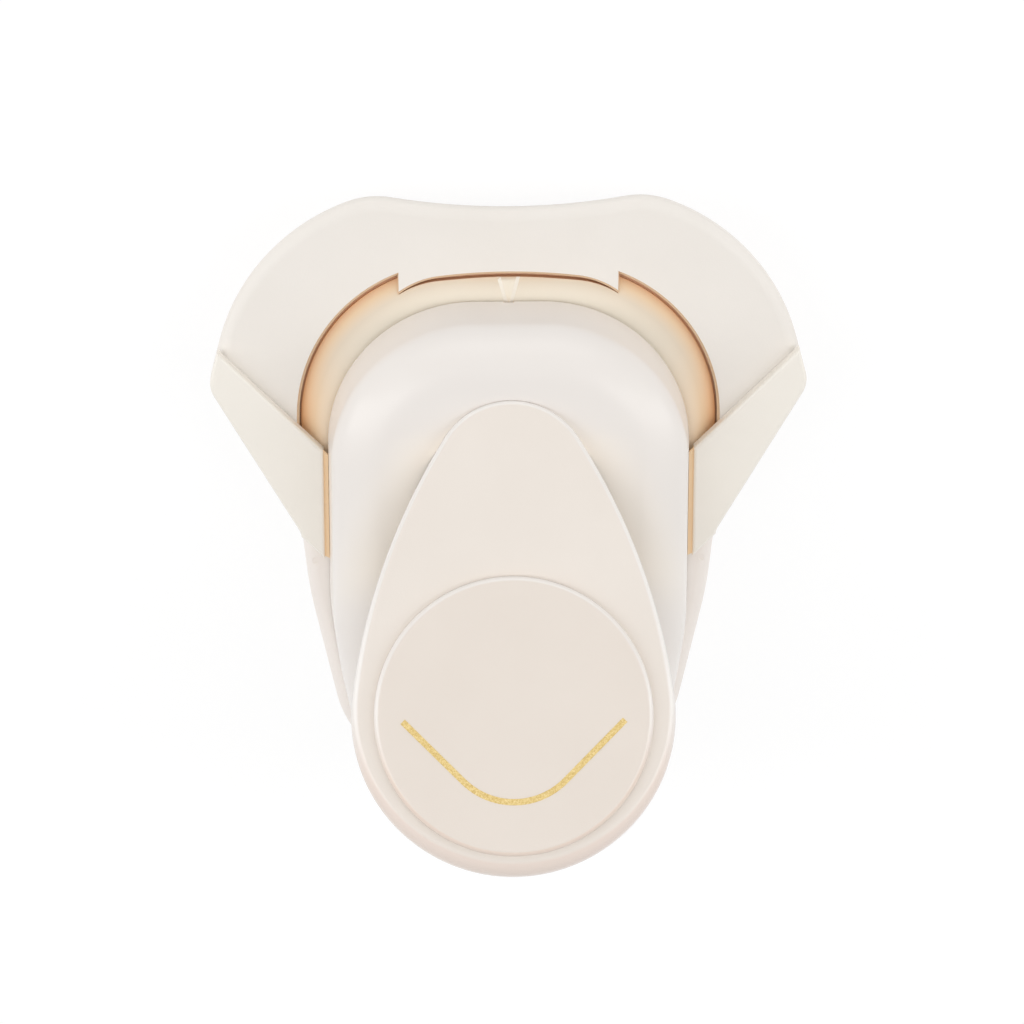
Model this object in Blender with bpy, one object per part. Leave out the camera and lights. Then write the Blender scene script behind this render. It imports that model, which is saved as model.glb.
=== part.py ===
"""Corner rounder punch, modelled as the pieces that it comes apart into.

Metres.  +X runs across, +Y towards the front, where the card goes in, and +Z up.
The origin is on the surface that the feet stand on, under the middle of the whole outline.
The lever is modelled at rest, raised at its rear, where it reaches a little past the base.
"""

import math

import bmesh
import bpy
from mathutils import Vector

MM = 0.001

# Whole object
LENGTH = 87.05 * MM
LEVER_OVERHANG = 2.6 * MM
CARD_HEIGHT = 12.0 * MM
CORNER_RADIUS = 10.0 * MM
STROKE = 5.3 * MM
REST_TILT = math.radians(20.0)
GAP = 0.3 * MM
RUN_GAP = 0.25 * MM
OVERRUN = 1.0 * MM
CURVE_TOLERANCE = 0.08 * MM
SMOOTH_ANGLE = math.radians(32.0)
FILLET_SHARE = 0.95

# Dome cover
HEAD_SETBACK = 36.85 * MM
DOME_WIDTH = 51.6 * MM
DOME_NOSE = 22.0 * MM
NOSE_RADIUS = 21.0 * MM
DOME_HIP_HALF = 24.6 * MM
DOME_HIP_AHEAD = 18.7 * MM
DOME_TAIL_HALF = 21.2 * MM
DOME_TAIL_LEDGE = 2.8 * MM
DOME_TAIL_RADIUS = 12.0 * MM
DOME_SIDE_RADIUS = 40.0 * MM
DOME_WALL = 2.0 * MM
DOME_WALL_HEIGHT = 8.3 * MM
DOME_DRAFT = 0.6 * MM
SHOULDER_WIDTH = 7.5 * MM
SHOULDER_HEIGHT = 6.0 * MM
SHOULDER_STEPS = 5
CROWN_HEIGHT = 0.5 * MM
CROWN_SHARES = (0.62, 0.3)
CARD_SLOT = 1.5 * MM
NOTCH_WIDTH = 1.1 * MM
NOTCH_DEPTH = 0.7 * MM
NOTCH_HEIGHT = 0.8 * MM

# Paper table and the outline of the whole base
TABLE_THICKNESS = 3.1 * MM
TABLE_RADIUS = 29.8 * MM
TABLE_BAND = 11.85 * MM
TABLE_AHEAD = 8.2 * MM
BUMP_RADIUS = 12.0 * MM
FRONT_DIP = 1.6 * MM
EDGE_RADIUS = 1.4 * MM
EDGE_STEPS = 3
WING_START = 16.0 * MM
WING_PROUD = 0.6 * MM
WING_AHEAD = 9.9 * MM
WING_RADIUS = 4.0 * MM
WAIST_LEDGE = 4.0 * MM
WAIST_BACK = 12.2 * MM
WAIST_RADIUS = 3.0 * MM
HIP_LEDGE = 2.95 * MM
HIP_BACK = 22.0 * MM
HIP_RADIUS = 60.0 * MM
TAIL_SIDE_LEDGE = 1.2 * MM
TAIL_RADIUS = 15.0 * MM
TABLE_END_GAP = 0.6 * MM

# Cut-out in the table, the tab in its middle and the card bed inside it
MOAT_RADIUS = 22.95 * MM
BED_WIDTH = 4.35 * MM
MOAT_AHEAD = 4.8 * MM
TAB_HALF = 15.5 * MM
TAB_CORNER_REACH = 23.5 * MM
TAB_MIDDLE_REACH = 26.16 * MM
TAB_THICKNESS = 1.5 * MM
MOAT_GAP = 0.7 * MM
BED_RIM_DROP = 2.7 * MM
BED_TOP_DROP = 0.3 * MM
BED_UNDER_GAP = 0.3 * MM
BED_CURVE = 2.2
BED_STEPS = 4
ARROW_HALF = 1.5 * MM
ARROW_TIP_HALF = 0.5 * MM
ARROW_DROP = 0.15 * MM
ARROW_HEIGHT = 1.5 * MM

# Card guides
GUIDE_GAP = 0.3 * MM
GUIDE_HEIGHT = 2.0 * MM
GUIDE_TIP_BACK = 16.4 * MM
GUIDE_EDGE = 0.35 * MM
PEG_RADIUS = 1.3 * MM
PEG_DEPTH = 2.2 * MM
PEG_AHEAD = 5.0 * MM
PEG_SPACING = 3.6 * MM

# Base housing and base pan
TUB_INSET = 3.5 * MM
TUB_WALL = 2.0 * MM
DECK = 2.0 * MM
FOOT_PROUD = 0.8 * MM
PAN_FLOOR = 2.4 * MM
PAN_RIM = 1.8 * MM
PAN_RIM_WALL = 1.3 * MM
FLANGE_OVERLAP = 0.4 * MM
CHUTE_MARGIN = 2.0 * MM
FOOT_RADIUS = 4.0 * MM
FOOT_THICKNESS = 1.7 * MM
FRONT_FOOT_HALF = 29.0 * MM
FRONT_FOOT_AHEAD = 20.0 * MM
REAR_FOOT_HALF = 9.5 * MM
REAR_FOOT_MARGIN = 8.7 * MM
TAIL_HOLLOW_MARGIN = 15.7 * MM
DIMPLE_RADIUS = 0.5 * MM
DIMPLE_DEPTH = 0.5 * MM
DIMPLE_HALF = 27.9 * MM
DIMPLE_BACK = 17.0 * MM

# Steel die set
DIE_HALF = 18.5 * MM
DIE_BEHIND = 6.9 * MM
DIE_AHEAD = 16.0 * MM
DIE_DROP = 0.1 * MM
DIE_THICKNESS = 3.0 * MM
STOP_INNER = 9.3 * MM
STOP_MARGIN = 2.8 * MM
STOP_STRIP = 5.9 * MM
PUNCH_GUIDE_THICKNESS = 2.0 * MM
PUNCH_GUIDE_AHEAD = 13.9 * MM
HORN_RUN = 1.6 * MM
HORN_FLAT = 0.6 * MM
PUNCH_REAR = 3.0 * MM
PUNCH_HEADROOM = 0.2 * MM
TANG_HALF = 3.2 * MM
TANG_LENGTH = 5.0 * MM
TANG_RISE = 5.2 * MM
TANG_SINK = 0.4 * MM
DIE_SCREW_HALF = 14.5 * MM
DIE_SCREW_AHEAD = 8.5 * MM
DIE_SCREW_BEHIND = 6.6 * MM

# Punch holder, springs and posts
ACTION_AHEAD = 2.6 * MM
HOLDER_FLANGE = 2.4 * MM
HOLDER_FLANGE_LENGTH = 7.4 * MM
HOLDER_HEADROOM = 0.6 * MM
COLUMN_HALF = 5.2 * MM
COLUMN_LENGTH = 9.0 * MM
SPRING_HALF = 13.6 * MM
SPRING_RADIUS = 2.6 * MM
SPRING_WIRE = 0.8 * MM
SPRING_TURNS = 6
SPRING_POINTS = 8
SPRING_POCKET = 0.5 * MM
POST_RADIUS = 1.4 * MM
POST_RISE = 14.2 * MM
POST_SINK = 1.5 * MM
HOLDER_PIN_RADIUS = 1.0 * MM
HOLDER_PIN_RISE = 3.2 * MM

# Lever, in its own frame: the pivot axis is its origin, and its top face is level
LEVER_TOP = 7.0 * MM
LEVER_TIP = 4.5 * MM
TIP_RADIUS = 11.0 * MM
SIDE_RADIUS = 90.0 * MM
END_RADIUS = 22.55 * MM
CENTRES = 32.75 * MM
SKIRT_FRONT = 3.0 * MM
SKIRT_REAR = 8.0 * MM
SKIRT_WALL = 1.8 * MM
LEVER_ROOF = 2.4 * MM
LEVER_EDGE_FRONT = 0.9 * MM
LEVER_EDGE_REAR = 2.0 * MM
LEVER_EDGE_STEPS = 4
PAD_RADIUS = 19.4 * MM
PAD_SIDES = 64
PAD_RECESS = 0.8 * MM
PAD_PROUD = 1.3 * MM
PAD_EDGE = 1.1 * MM
PAD_EDGE_STEPS = 3
MARK_WIDTH = 0.88 * MM
MARK_APEX = 16.0 * MM
MARK_SPAN = 30.8 * MM
MARK_THICKNESS = 0.35 * MM
MARK_PROUD = 0.05 * MM
MARK_GAP = 0.2 * MM
TIP_AHEAD = 12.2 * MM
OPENING_GAP = 0.35 * MM
OPENING_REAR = 2.7 * MM
OPENING_SLOT_HALF = 9.2 * MM
OPENING_SLOT_BACK = 31.0 * MM
OPENING_SKIN = 0.3 * MM

# Lever frame, pivot pin and press pin
PIVOT_RADIUS = 1.5 * MM
BOSS_RADIUS = 3.3 * MM
CHEEK_OUTER = 7.9 * MM
CHEEK_THICKNESS = 2.2 * MM
WEB_FRONT = 3.6 * MM
WEB_BACK = 34.0 * MM
WEB_THICKNESS = 1.8 * MM
PRESS_REACH = 30.1 * MM
PRESS_RADIUS = 2.0 * MM
EAR_CLEARANCE = 3.4 * MM
EAR_THICKNESS = 3.6 * MM
EAR_HALF_LENGTH = 3.5 * MM
EAR_DEPTH = 3.6 * MM
EAR_SKIN = 0.9 * MM

# Screws
SCREW_RADIUS = 1.25 * MM
SCREW_HEAD_RADIUS = 2.1 * MM
SCREW_HEAD = 1.2 * MM
SCREW_RECESS = 0.7 * MM
SCREW_RECESS_RADIUS = 0.8 * MM
SCREW_SIDES = 12
SCREW_BOSS = 2.6 * MM
DOME_BOSS_RISE = 9.7 * MM
DOME_SCREW_RISE = 8.0 * MM
FRONT_BOSS_MARGIN = 4.0 * MM
FRONT_BOSS_BACK = 12.6 * MM
REAR_BOSS_SIDE_MARGIN = 3.6 * MM
REAR_BOSS_MARGIN = 10.2 * MM
TABLE_SCREW_MARGIN = 5.25 * MM
TABLE_SCREW_ANGLES = (math.radians(18.0), math.radians(60.0), math.radians(120.0), math.radians(162.0))
TABLE_SCREW_SINK = 1.9 * MM
LEVER_SCREW_BACKS = (8.0 * MM, 16.0 * MM)
LEVER_SCREW_SINK = 1.3 * MM

# Places worked out from the sizes above
FRONT_Y = (LENGTH + LEVER_OVERHANG) / 2
TAIL_Y = FRONT_Y - LENGTH
HEAD_Y = FRONT_Y - HEAD_SETBACK
TAIL_BACK = LENGTH - HEAD_SETBACK
DOME_HALF = DOME_WIDTH / 2
DOME_HIP_BACK = TAIL_BACK - DOME_HIP_AHEAD
WALL_LINE = DOME_HALF + GUIDE_GAP
MOAT_HALF = DOME_HALF + BED_WIDTH
MOAT_SPREAD = MOAT_HALF - MOAT_RADIUS
TABLE_HALF = MOAT_HALF + TABLE_BAND
TABLE_SPREAD = TABLE_HALF - TABLE_RADIUS
WING_HALF = TABLE_HALF + WING_PROUD
WAIST_HALF = DOME_HALF + WAIST_LEDGE
HIP_HALF = DOME_HALF + HIP_LEDGE
TAIL_HALF = DOME_TAIL_HALF + TAIL_SIDE_LEDGE
REAR_FOOT_BACK = TAIL_BACK - REAR_FOOT_MARGIN
TAIL_HOLLOW_BACK = TAIL_BACK - TAIL_HOLLOW_MARGIN
DIE_BACK = WALL_LINE + DIE_BEHIND
DIE_FRONT = WALL_LINE - DIE_AHEAD
PUNCH_GUIDE_FRONT = WALL_LINE - PUNCH_GUIDE_AHEAD
ACTION_BACK = WALL_LINE - ACTION_AHEAD
STOP_OUTER = DOME_HALF - STOP_MARGIN
FRONT_BOSS_HALF = DOME_HALF - FRONT_BOSS_MARGIN
REAR_BOSS_HALF = DOME_TAIL_HALF - REAR_BOSS_SIDE_MARGIN
REAR_BOSS_BACK = TAIL_BACK - REAR_BOSS_MARGIN
TABLE_SCREW_RADIUS = MOAT_HALF + TABLE_SCREW_MARGIN
APEX_Y = HEAD_Y - WALL_LINE
CUT_CENTRE_Y = APEX_Y + CORNER_RADIUS * math.sqrt(2)
DECK_TOP = CARD_HEIGHT - TABLE_THICKNESS - GAP
DECK_UNDER = DECK_TOP - DECK
PAN_TOP = FOOT_PROUD + PAN_FLOOR
TUB_LOW = PAN_TOP + GAP
DOME_LOW = CARD_HEIGHT + GAP
LIP_Z = CARD_HEIGHT + CARD_SLOT
SHOULDER_Z = DOME_LOW + DOME_WALL_HEIGHT
DOME_TOP = SHOULDER_Z + SHOULDER_HEIGHT
CEILING = DOME_TOP - DOME_WALL
DIE_TOP = CARD_HEIGHT - DIE_DROP
DIE_LOW = DIE_TOP - DIE_THICKNESS
GUIDE_PLATE_TOP = LIP_Z + PUNCH_GUIDE_THICKNESS
ACTION_Y = HEAD_Y - ACTION_BACK
FLANGE_TOP = CEILING - HOLDER_HEADROOM
FLANGE_LOW = FLANGE_TOP - HOLDER_FLANGE
PUNCH_LOW = LIP_Z + PUNCH_HEADROOM
PUNCH_TOP = FLANGE_LOW - GAP
TIP_Y = HEAD_Y + TIP_AHEAD
PIVOT_Y = TIP_Y - LEVER_TIP * math.cos(REST_TILT) - LEVER_TOP * math.sin(REST_TILT)
PIVOT_Z = DOME_TOP + CROWN_HEIGHT + GAP / 2 + LEVER_TIP * math.sin(REST_TILT) - LEVER_TOP * math.cos(REST_TILT)
PRESS_Y = PIVOT_Y - PRESS_REACH * math.cos(REST_TILT)
PRESS_Z = PIVOT_Z + PRESS_REACH * math.sin(REST_TILT)
COLUMN_TOP = PRESS_Z - PRESS_RADIUS - GAP
PAD_Y = LEVER_TIP - TIP_RADIUS - CENTRES
EAR_INNER = CHEEK_OUTER + EAR_CLEARANCE
PIVOT_HALF_LENGTH = EAR_INNER + EAR_THICKNESS - EAR_SKIN
DIE_REAR_Y = HEAD_Y - DIE_BACK
DIE_FRONT_Y = HEAD_Y - DIE_FRONT
TABLE_END_Y = DIE_FRONT_Y + TABLE_END_GAP


def clear_scene():
    """Removes what the scene holds."""
    for item in list(bpy.data.objects):
        bpy.data.objects.remove(item, do_unlink=True)


def make_material(name, colour, roughness, metallic=0.0):
    """A Principled material of one colour."""
    material = bpy.data.materials.new(name)
    material.use_nodes = True
    shader = material.node_tree.nodes["Principled BSDF"]
    shader.inputs["Base Color"].default_value = (*colour, 1.0)
    shader.inputs["Roughness"].default_value = roughness
    shader.inputs["Metallic"].default_value = metallic
    return material


def arc(centre, radius, start, end):
    """Points along an arc, ends included, close enough together to stay within the curve tolerance."""
    step = 2 * math.acos(1 - min(CURVE_TOLERANCE / radius, 0.25))
    count = max(2, math.ceil(abs(end - start) / step))
    points = []
    for index in range(count + 1):
        angle = start + (end - start) * index / count
        points.append((centre[0] + radius * math.cos(angle), centre[1] + radius * math.sin(angle)))
    return points


def fillet(before, corner, after, radius):
    """The arc that rounds a corner between two neighbouring points."""
    corner = Vector(corner)
    towards_before = (Vector(before) - corner).normalized()
    towards_after = (Vector(after) - corner).normalized()
    half = towards_before.angle(towards_after) / 2
    middle = (towards_before + towards_after).normalized()
    centre = corner + middle * radius / math.sin(half)
    first = corner + towards_before * radius / math.tan(half) - centre
    last = corner + towards_after * radius / math.tan(half) - centre
    start = math.atan2(first.y, first.x)
    turn = math.remainder(math.atan2(last.y, last.x) - start, 2 * math.pi)
    return arc(centre, radius, start, start + turn)


def rounded_path(points, radii):
    """A path whose inner corners are rounded, no more than its legs have room for; its two ends stay sharp."""
    legs = [Vector(end) - Vector(start) for start, end in zip(points, points[1:])]
    runs = [0]
    for radius, leg, after in zip(radii, legs, legs[1:]):
        runs.append(radius * math.tan(leg.angle(after) / 2))
    runs.append(0)
    path = [tuple(points[0])]
    for index, radius in enumerate(radii, start=1):
        room_before = FILLET_SHARE * legs[index - 1].length / (runs[index - 1] + runs[index])
        room_after = FILLET_SHARE * legs[index].length / (runs[index] + runs[index + 1])
        limited = radius * min(room_before, room_after, 1)
        path += fillet(points[index - 1], points[index], points[index + 1], limited)
    return path + [tuple(points[-1])]


def both_sides(right):
    """A closed outline from its right half, which runs from the front middle to the rear middle."""
    left = [(-x, y) for x, y in right]
    return left + right[-2:0:-1]


def inset(outline, distance):
    """The outline moved inwards; a negative distance moves it outwards."""
    moved = []
    count = len(outline)
    for index in range(count):
        here = Vector(outline[index])
        along_in = (here - Vector(outline[index - 1])).normalized()
        along_out = (Vector(outline[(index + 1) % count]) - here).normalized()
        normal = Vector((-along_in.y - along_out.y, along_in.x + along_out.x)).normalized()
        share = normal.dot(Vector((-along_in.y, along_in.x)))
        moved.append(tuple(here + normal * distance / share))
    return moved


def shrunk(outline, distance):
    """The outline moved well inwards, without the loops that its tight corners would fold into."""
    sides = [(Vector(outline[index - 1]), Vector(end)) for index, end in enumerate(outline)]
    kept = []
    for point in inset(outline, distance):
        place = Vector(point)
        apart = []
        for start, end in sides:
            along = end - start
            share = min(max((place - start).dot(along) / along.length_squared, 0), 1)
            apart.append((place - start - along * share).length)
        if min(apart) > distance - CURVE_TOLERANCE / 4:
            kept.append(point)
    return kept


def scaled(outline, centre, share):
    """The outline drawn in towards a point."""
    return [(centre[0] + (x - centre[0]) * share, centre[1] + (y - centre[1]) * share) for x, y in outline]


def at_height(outline, z):
    """The outline's points at one height."""
    return [(x, y, z) for x, y in outline]


def circle(centre, radius, sides):
    """A round outline."""
    step = 2 * math.pi / sides
    return [
        (centre[0] + radius * math.cos(step * index), centre[1] + radius * math.sin(step * index))
        for index in range(sides)
    ]


def rectangle(half_width, rear, front):
    """A rectangle across the middle line."""
    return [(-half_width, rear), (half_width, rear), (half_width, front), (-half_width, front)]


def add_rings(bm, rings):
    """Skins a row of rings that have equal counts, and caps its two ends."""
    rows = [[bm.verts.new(point) for point in ring] for ring in rings]
    for low, high in zip(rows, rows[1:]):
        count = len(low)
        for index in range(count):
            after = (index + 1) % count
            bm.faces.new((low[index], low[after], high[after], high[index]))
    bm.faces.new(reversed(rows[0]))
    bm.faces.new(rows[-1])


def finish_mesh(bm, name, material=None, parent=None, origin=(0, 0, 0)):
    """Turns a bmesh into a smooth shaded object whose origin is the given point."""
    bmesh.ops.recalc_face_normals(bm, faces=bm.faces)
    bmesh.ops.translate(bm, verts=bm.verts, vec=-Vector(origin))
    mesh = bpy.data.meshes.new(name)
    bm.to_mesh(mesh)
    bm.free()
    mesh.shade_smooth()
    mesh.set_sharp_from_angle(angle=SMOOTH_ANGLE)
    item = bpy.data.objects.new(name, mesh)
    item.location = origin
    item.parent = parent
    bpy.context.scene.collection.objects.link(item)
    if material:
        mesh.materials.append(material)
    return item


def loft(name, rings, material=None, parent=None, origin=(0, 0, 0)):
    """One solid skinned over rings."""
    bm = bmesh.new()
    add_rings(bm, rings)
    return finish_mesh(bm, name, material, parent, origin)


def prism(name, outline, low, high, material=None, parent=None, origin=(0, 0, 0)):
    """An outline extruded between two heights."""
    return loft(name, [at_height(outline, low), at_height(outline, high)], material, parent, origin)


def side_prism(name, profile, low, high, material=None, parent=None, origin=(0, 0, 0)):
    """A (y, z) profile extruded between two places along X."""
    rings = [[(x, y, z) for y, z in profile] for x in (low, high)]
    return loft(name, rings, material, parent, origin)


def add_turned(bm, centre, profile, sides):
    """Adds a round solid: its profile is (radius, z) from one end face to the other."""
    add_rings(bm, [at_height(circle(centre, radius, sides), z) for radius, z in profile])


def turned(name, centres, profile, sides, material=None, parent=None, origin=(0, 0, 0)):
    """Equal round solids in one object, one at each centre."""
    bm = bmesh.new()
    for centre in centres:
        add_turned(bm, centre, profile, sides)
    return finish_mesh(bm, name, material, parent, origin)


def combine(target, tool, operation):
    """Cuts the tool from the target or joins it on, and keeps the tool out of sight."""
    modifier = target.modifiers.new(tool.name, "BOOLEAN")
    modifier.operation = operation
    modifier.object = tool
    tool.hide_render = True
    tool.display_type = "WIRE"


def cut(target, *tools):
    """Cuts each tool from the target."""
    for tool in tools:
        combine(target, tool, "DIFFERENCE")


def join(target, *tools):
    """Joins each tool to the target."""
    for tool in tools:
        combine(target, tool, "UNION")


def bevel(target, width, segments):
    """Rounds the sharp edges of an object."""
    modifier = target.modifiers.new("rounded edges", "BEVEL")
    modifier.width = width
    modifier.segments = segments
    modifier.limit_method = "ANGLE"
    modifier.angle_limit = math.radians(50.0)


def mirrored_places(*places):
    """Each place and its mirror image across the middle line."""
    return [(side * x, y) for x, y in places for side in (1, -1)]


def edge_profile(radius, steps):
    """Quarter round, as (inset, drop below the face) pairs from the side up to the face."""
    pairs = []
    for index in range(steps + 1):
        angle = math.pi / 2 * index / steps
        pairs.append((radius * (1 - math.cos(angle)), radius * (1 - math.sin(angle))))
    return pairs


def base_outline():
    """The whole base seen from above: bumped front, round table sides, wings and tapering tail."""
    bump_y = FRONT_Y - BUMP_RADIUS
    table_y = HEAD_Y + TABLE_AHEAD
    lead = math.sqrt((TABLE_RADIUS - BUMP_RADIUS) ** 2 - (bump_y - table_y) ** 2)
    bump_x = TABLE_SPREAD + lead
    dip_radius = (bump_x**2 - 2 * BUMP_RADIUS * FRONT_DIP + FRONT_DIP**2) / (2 * FRONT_DIP)
    dip_y = FRONT_Y - FRONT_DIP + dip_radius
    lean = math.atan2(bump_x, dip_y - bump_y)
    side_start = math.atan2(bump_y - table_y, lead)
    quarter = math.pi / 2
    right = arc((0, dip_y), dip_radius, -quarter, lean - quarter)
    right += arc((bump_x, bump_y), BUMP_RADIUS, quarter + lean, side_start)[1:]
    side_end = math.asin((WING_START - TABLE_AHEAD) / TABLE_RADIUS)
    right += arc((TABLE_SPREAD, table_y), TABLE_RADIUS, side_start, side_end)[1:]
    corners = [
        right[-1],
        (WING_HALF, HEAD_Y + WING_AHEAD),
        (WAIST_HALF, HEAD_Y - WAIST_BACK),
        (HIP_HALF, HEAD_Y - HIP_BACK),
        (TAIL_HALF, TAIL_Y),
        (0, TAIL_Y),
    ]
    right += rounded_path(corners, [WING_RADIUS, WAIST_RADIUS, HIP_RADIUS, TAIL_RADIUS])[1:]
    return both_sides(right)


def dome_outline():
    """The dome's lower edge: round nose, straight sides and a tapering tail."""
    tail_y = TAIL_Y + DOME_TAIL_LEDGE
    nose_y = HEAD_Y + DOME_NOSE
    corners = [
        (0, nose_y),
        (DOME_HALF, nose_y),
        (DOME_HALF, HEAD_Y - ACTION_BACK),
        (DOME_HIP_HALF, HEAD_Y - DOME_HIP_BACK),
        (DOME_TAIL_HALF, tail_y),
        (0, tail_y),
    ]
    radii = [NOSE_RADIUS, DOME_SIDE_RADIUS, DOME_SIDE_RADIUS, DOME_TAIL_RADIUS]
    return both_sides(rounded_path(corners, radii))


def punch_outline():
    """The punch seen from above: the cut line in front with a horn each side, and a straight rear."""
    quarter = math.pi / 2
    front = arc((0, CUT_CENTRE_Y), CORNER_RADIUS, -quarter, -quarter / 2)
    run = HORN_RUN / math.sqrt(2)
    horn = (front[-1][0] + run, front[-1][1] + run)
    side_x = horn[0] + HORN_FLAT
    rear_y = APEX_Y - PUNCH_REAR
    return both_sides(front + [horn, (side_x, horn[1]), (side_x, rear_y), (0, rear_y)])


def chute_outline():
    """The waste chute seen from above: a rectangle round the punch."""
    punch_points = punch_outline()
    half = max(x for x, y in punch_points) + CHUTE_MARGIN
    rear = min(y for x, y in punch_points) - CHUTE_MARGIN
    front = max(y for x, y in punch_points) + CHUTE_MARGIN
    return rectangle(half, rear, front)


def moat_sweep(gap, start):
    """Right half of the table's cut-out from an angle on its round front to its straight side and rear."""
    radius = MOAT_RADIUS - gap
    rear_y = TABLE_END_Y - OVERRUN * 3
    centre = (MOAT_SPREAD, HEAD_Y + MOAT_AHEAD)
    return arc(centre, radius, start, 0) + [(centre[0] + radius, rear_y), (0, rear_y)]


def round_outline(gap=0):
    """The cut-out as it would be with no tab: the card bed's outline once a gap is left round it."""
    front_y = HEAD_Y + MOAT_AHEAD + MOAT_RADIUS - gap
    return both_sides([(0, front_y)] + moat_sweep(gap, math.pi / 2))


def moat_outline(gap=0):
    """The table's cut-out: a round sweep with a tab standing in its front."""
    half = TAB_HALF + gap
    middle = TAB_MIDDLE_REACH - gap
    corner = TAB_CORNER_REACH - gap
    drop = middle - corner
    bow = (half**2 + drop**2) / (2 * drop)
    lean = math.asin(half / bow)
    quarter = math.pi / 2
    right = arc((0, HEAD_Y + middle - bow), bow, quarter, quarter - lean)
    right += moat_sweep(gap, math.acos((half - MOAT_SPREAD) / (MOAT_RADIUS - gap)))
    return both_sides(right)


def slab_rings(outline, low, high, under_radius, top_radius, steps):
    """Rings of a plate whose lower and upper rims are rounded."""
    under = [at_height(inset(outline, d), low + drop) for d, drop in reversed(edge_profile(under_radius, steps))]
    upper = [at_height(inset(outline, d), high - drop) for d, drop in edge_profile(top_radius, steps)]
    return under + upper


def screws(name, centres, head_z, tip_z, material, parent=None):
    """Equal pan head screws from the head's outer face to the tip, up or down, each with a round recess."""
    way = 1 if tip_z > head_z else -1
    under_head = way * SCREW_HEAD
    profile = [
        (SCREW_RECESS_RADIUS, way * SCREW_RECESS),
        (SCREW_RECESS_RADIUS, 0),
        (SCREW_HEAD_RADIUS, 0),
        (SCREW_HEAD_RADIUS, under_head),
        (SCREW_RADIUS, under_head),
        (SCREW_RADIUS, tip_z - head_z),
    ]
    first = turned(name + "_1", [(0, 0)], profile, SCREW_SIDES, material, parent)
    first.location = (*centres[0], head_z)
    for number, centre in enumerate(centres[1:], start=2):
        item = bpy.data.objects.new(name + "_" + str(number), first.data)
        item.location = (*centre, head_z)
        item.parent = parent
        bpy.context.scene.collection.objects.link(item)


def hole(name, centres, radius, low, high, parent=None):
    """Round cutters between two heights."""
    return turned(name, centres, [(radius, low), (radius, high)], SCREW_SIDES, parent=parent)


def dome_screw_places():
    """Where the long base screws stand."""
    return mirrored_places(
        (FRONT_BOSS_HALF, HEAD_Y - FRONT_BOSS_BACK), (REAR_BOSS_HALF, HEAD_Y - REAR_BOSS_BACK)
    )


def table_screw_places():
    """Where the table's screws stand, on a ring about the head."""
    return [
        (TABLE_SCREW_RADIUS * math.cos(angle), HEAD_Y + TABLE_SCREW_RADIUS * math.sin(angle))
        for angle in TABLE_SCREW_ANGLES
    ]


def die_screw_places():
    """Where the die set's screws stand."""
    return mirrored_places(
        (DIE_SCREW_HALF, ACTION_Y + DIE_SCREW_AHEAD), (DIE_SCREW_HALF, ACTION_Y - DIE_SCREW_BEHIND)
    )


def spring_places():
    """Where the return springs stand, left and right."""
    return {"left": (-SPRING_HALF, ACTION_Y), "right": (SPRING_HALF, ACTION_Y)}


def foot_places():
    """Where the feet stand."""
    front = HEAD_Y + FRONT_FOOT_AHEAD
    rear = HEAD_Y - REAR_FOOT_BACK
    return {
        "front_left": (-FRONT_FOOT_HALF, front),
        "front_right": (FRONT_FOOT_HALF, front),
        "rear_left": (-REAR_FOOT_HALF, rear),
        "rear_right": (REAR_FOOT_HALF, rear),
    }


def peg_places(side):
    """Where a guide's two pegs stand: along the middle of its broad end."""
    x = WALL_LINE + PEG_AHEAD + PEG_SPACING
    y = HEAD_Y + PEG_AHEAD - PEG_SPACING / 2
    return [(side * x, y), (side * (x + PEG_SPACING), y + PEG_SPACING)]


def base_pan(material):
    """Bottom cover: a floor with a rim that stands inside the housing, the waste chute and foot recesses."""
    outline = base_outline()
    pan = prism("base_pan", shrunk(outline, TUB_INSET), FOOT_PROUD, PAN_TOP, material)
    rim_inset = TUB_INSET + TUB_WALL + GAP
    rim_top = PAN_TOP + PAN_RIM
    rim = prism("pan rim", shrunk(outline, rim_inset), PAN_TOP - FOOT_PROUD / 2, rim_top)
    cut(rim, prism("pan rim hollow", shrunk(outline, rim_inset + PAN_RIM_WALL), PAN_TOP, rim_top + OVERRUN))
    join(pan, rim)
    cut(pan, prism("pan chute", chute_outline(), -OVERRUN, PAN_TOP + OVERRUN))
    feet = list(foot_places().values())
    sink = FOOT_THICKNESS - FOOT_PROUD + GAP
    cut(pan, hole("foot recesses", feet, FOOT_RADIUS + GAP, -OVERRUN, FOOT_PROUD + sink))
    screws = dome_screw_places() + table_screw_places()
    cut(pan, hole("pan screw holes", screws, SCREW_RADIUS + GAP, -OVERRUN, PAN_TOP + OVERRUN))
    head_room = FOOT_PROUD + SCREW_HEAD + GAP
    cut(pan, hole("pan head pockets", screws, SCREW_HEAD_RADIUS + GAP, -OVERRUN, head_room))
    rim_room = SCREW_BOSS + GAP
    cut(pan, hole("pan boss room", screws, rim_room, PAN_TOP, PAN_TOP + PAN_RIM + OVERRUN))


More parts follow.
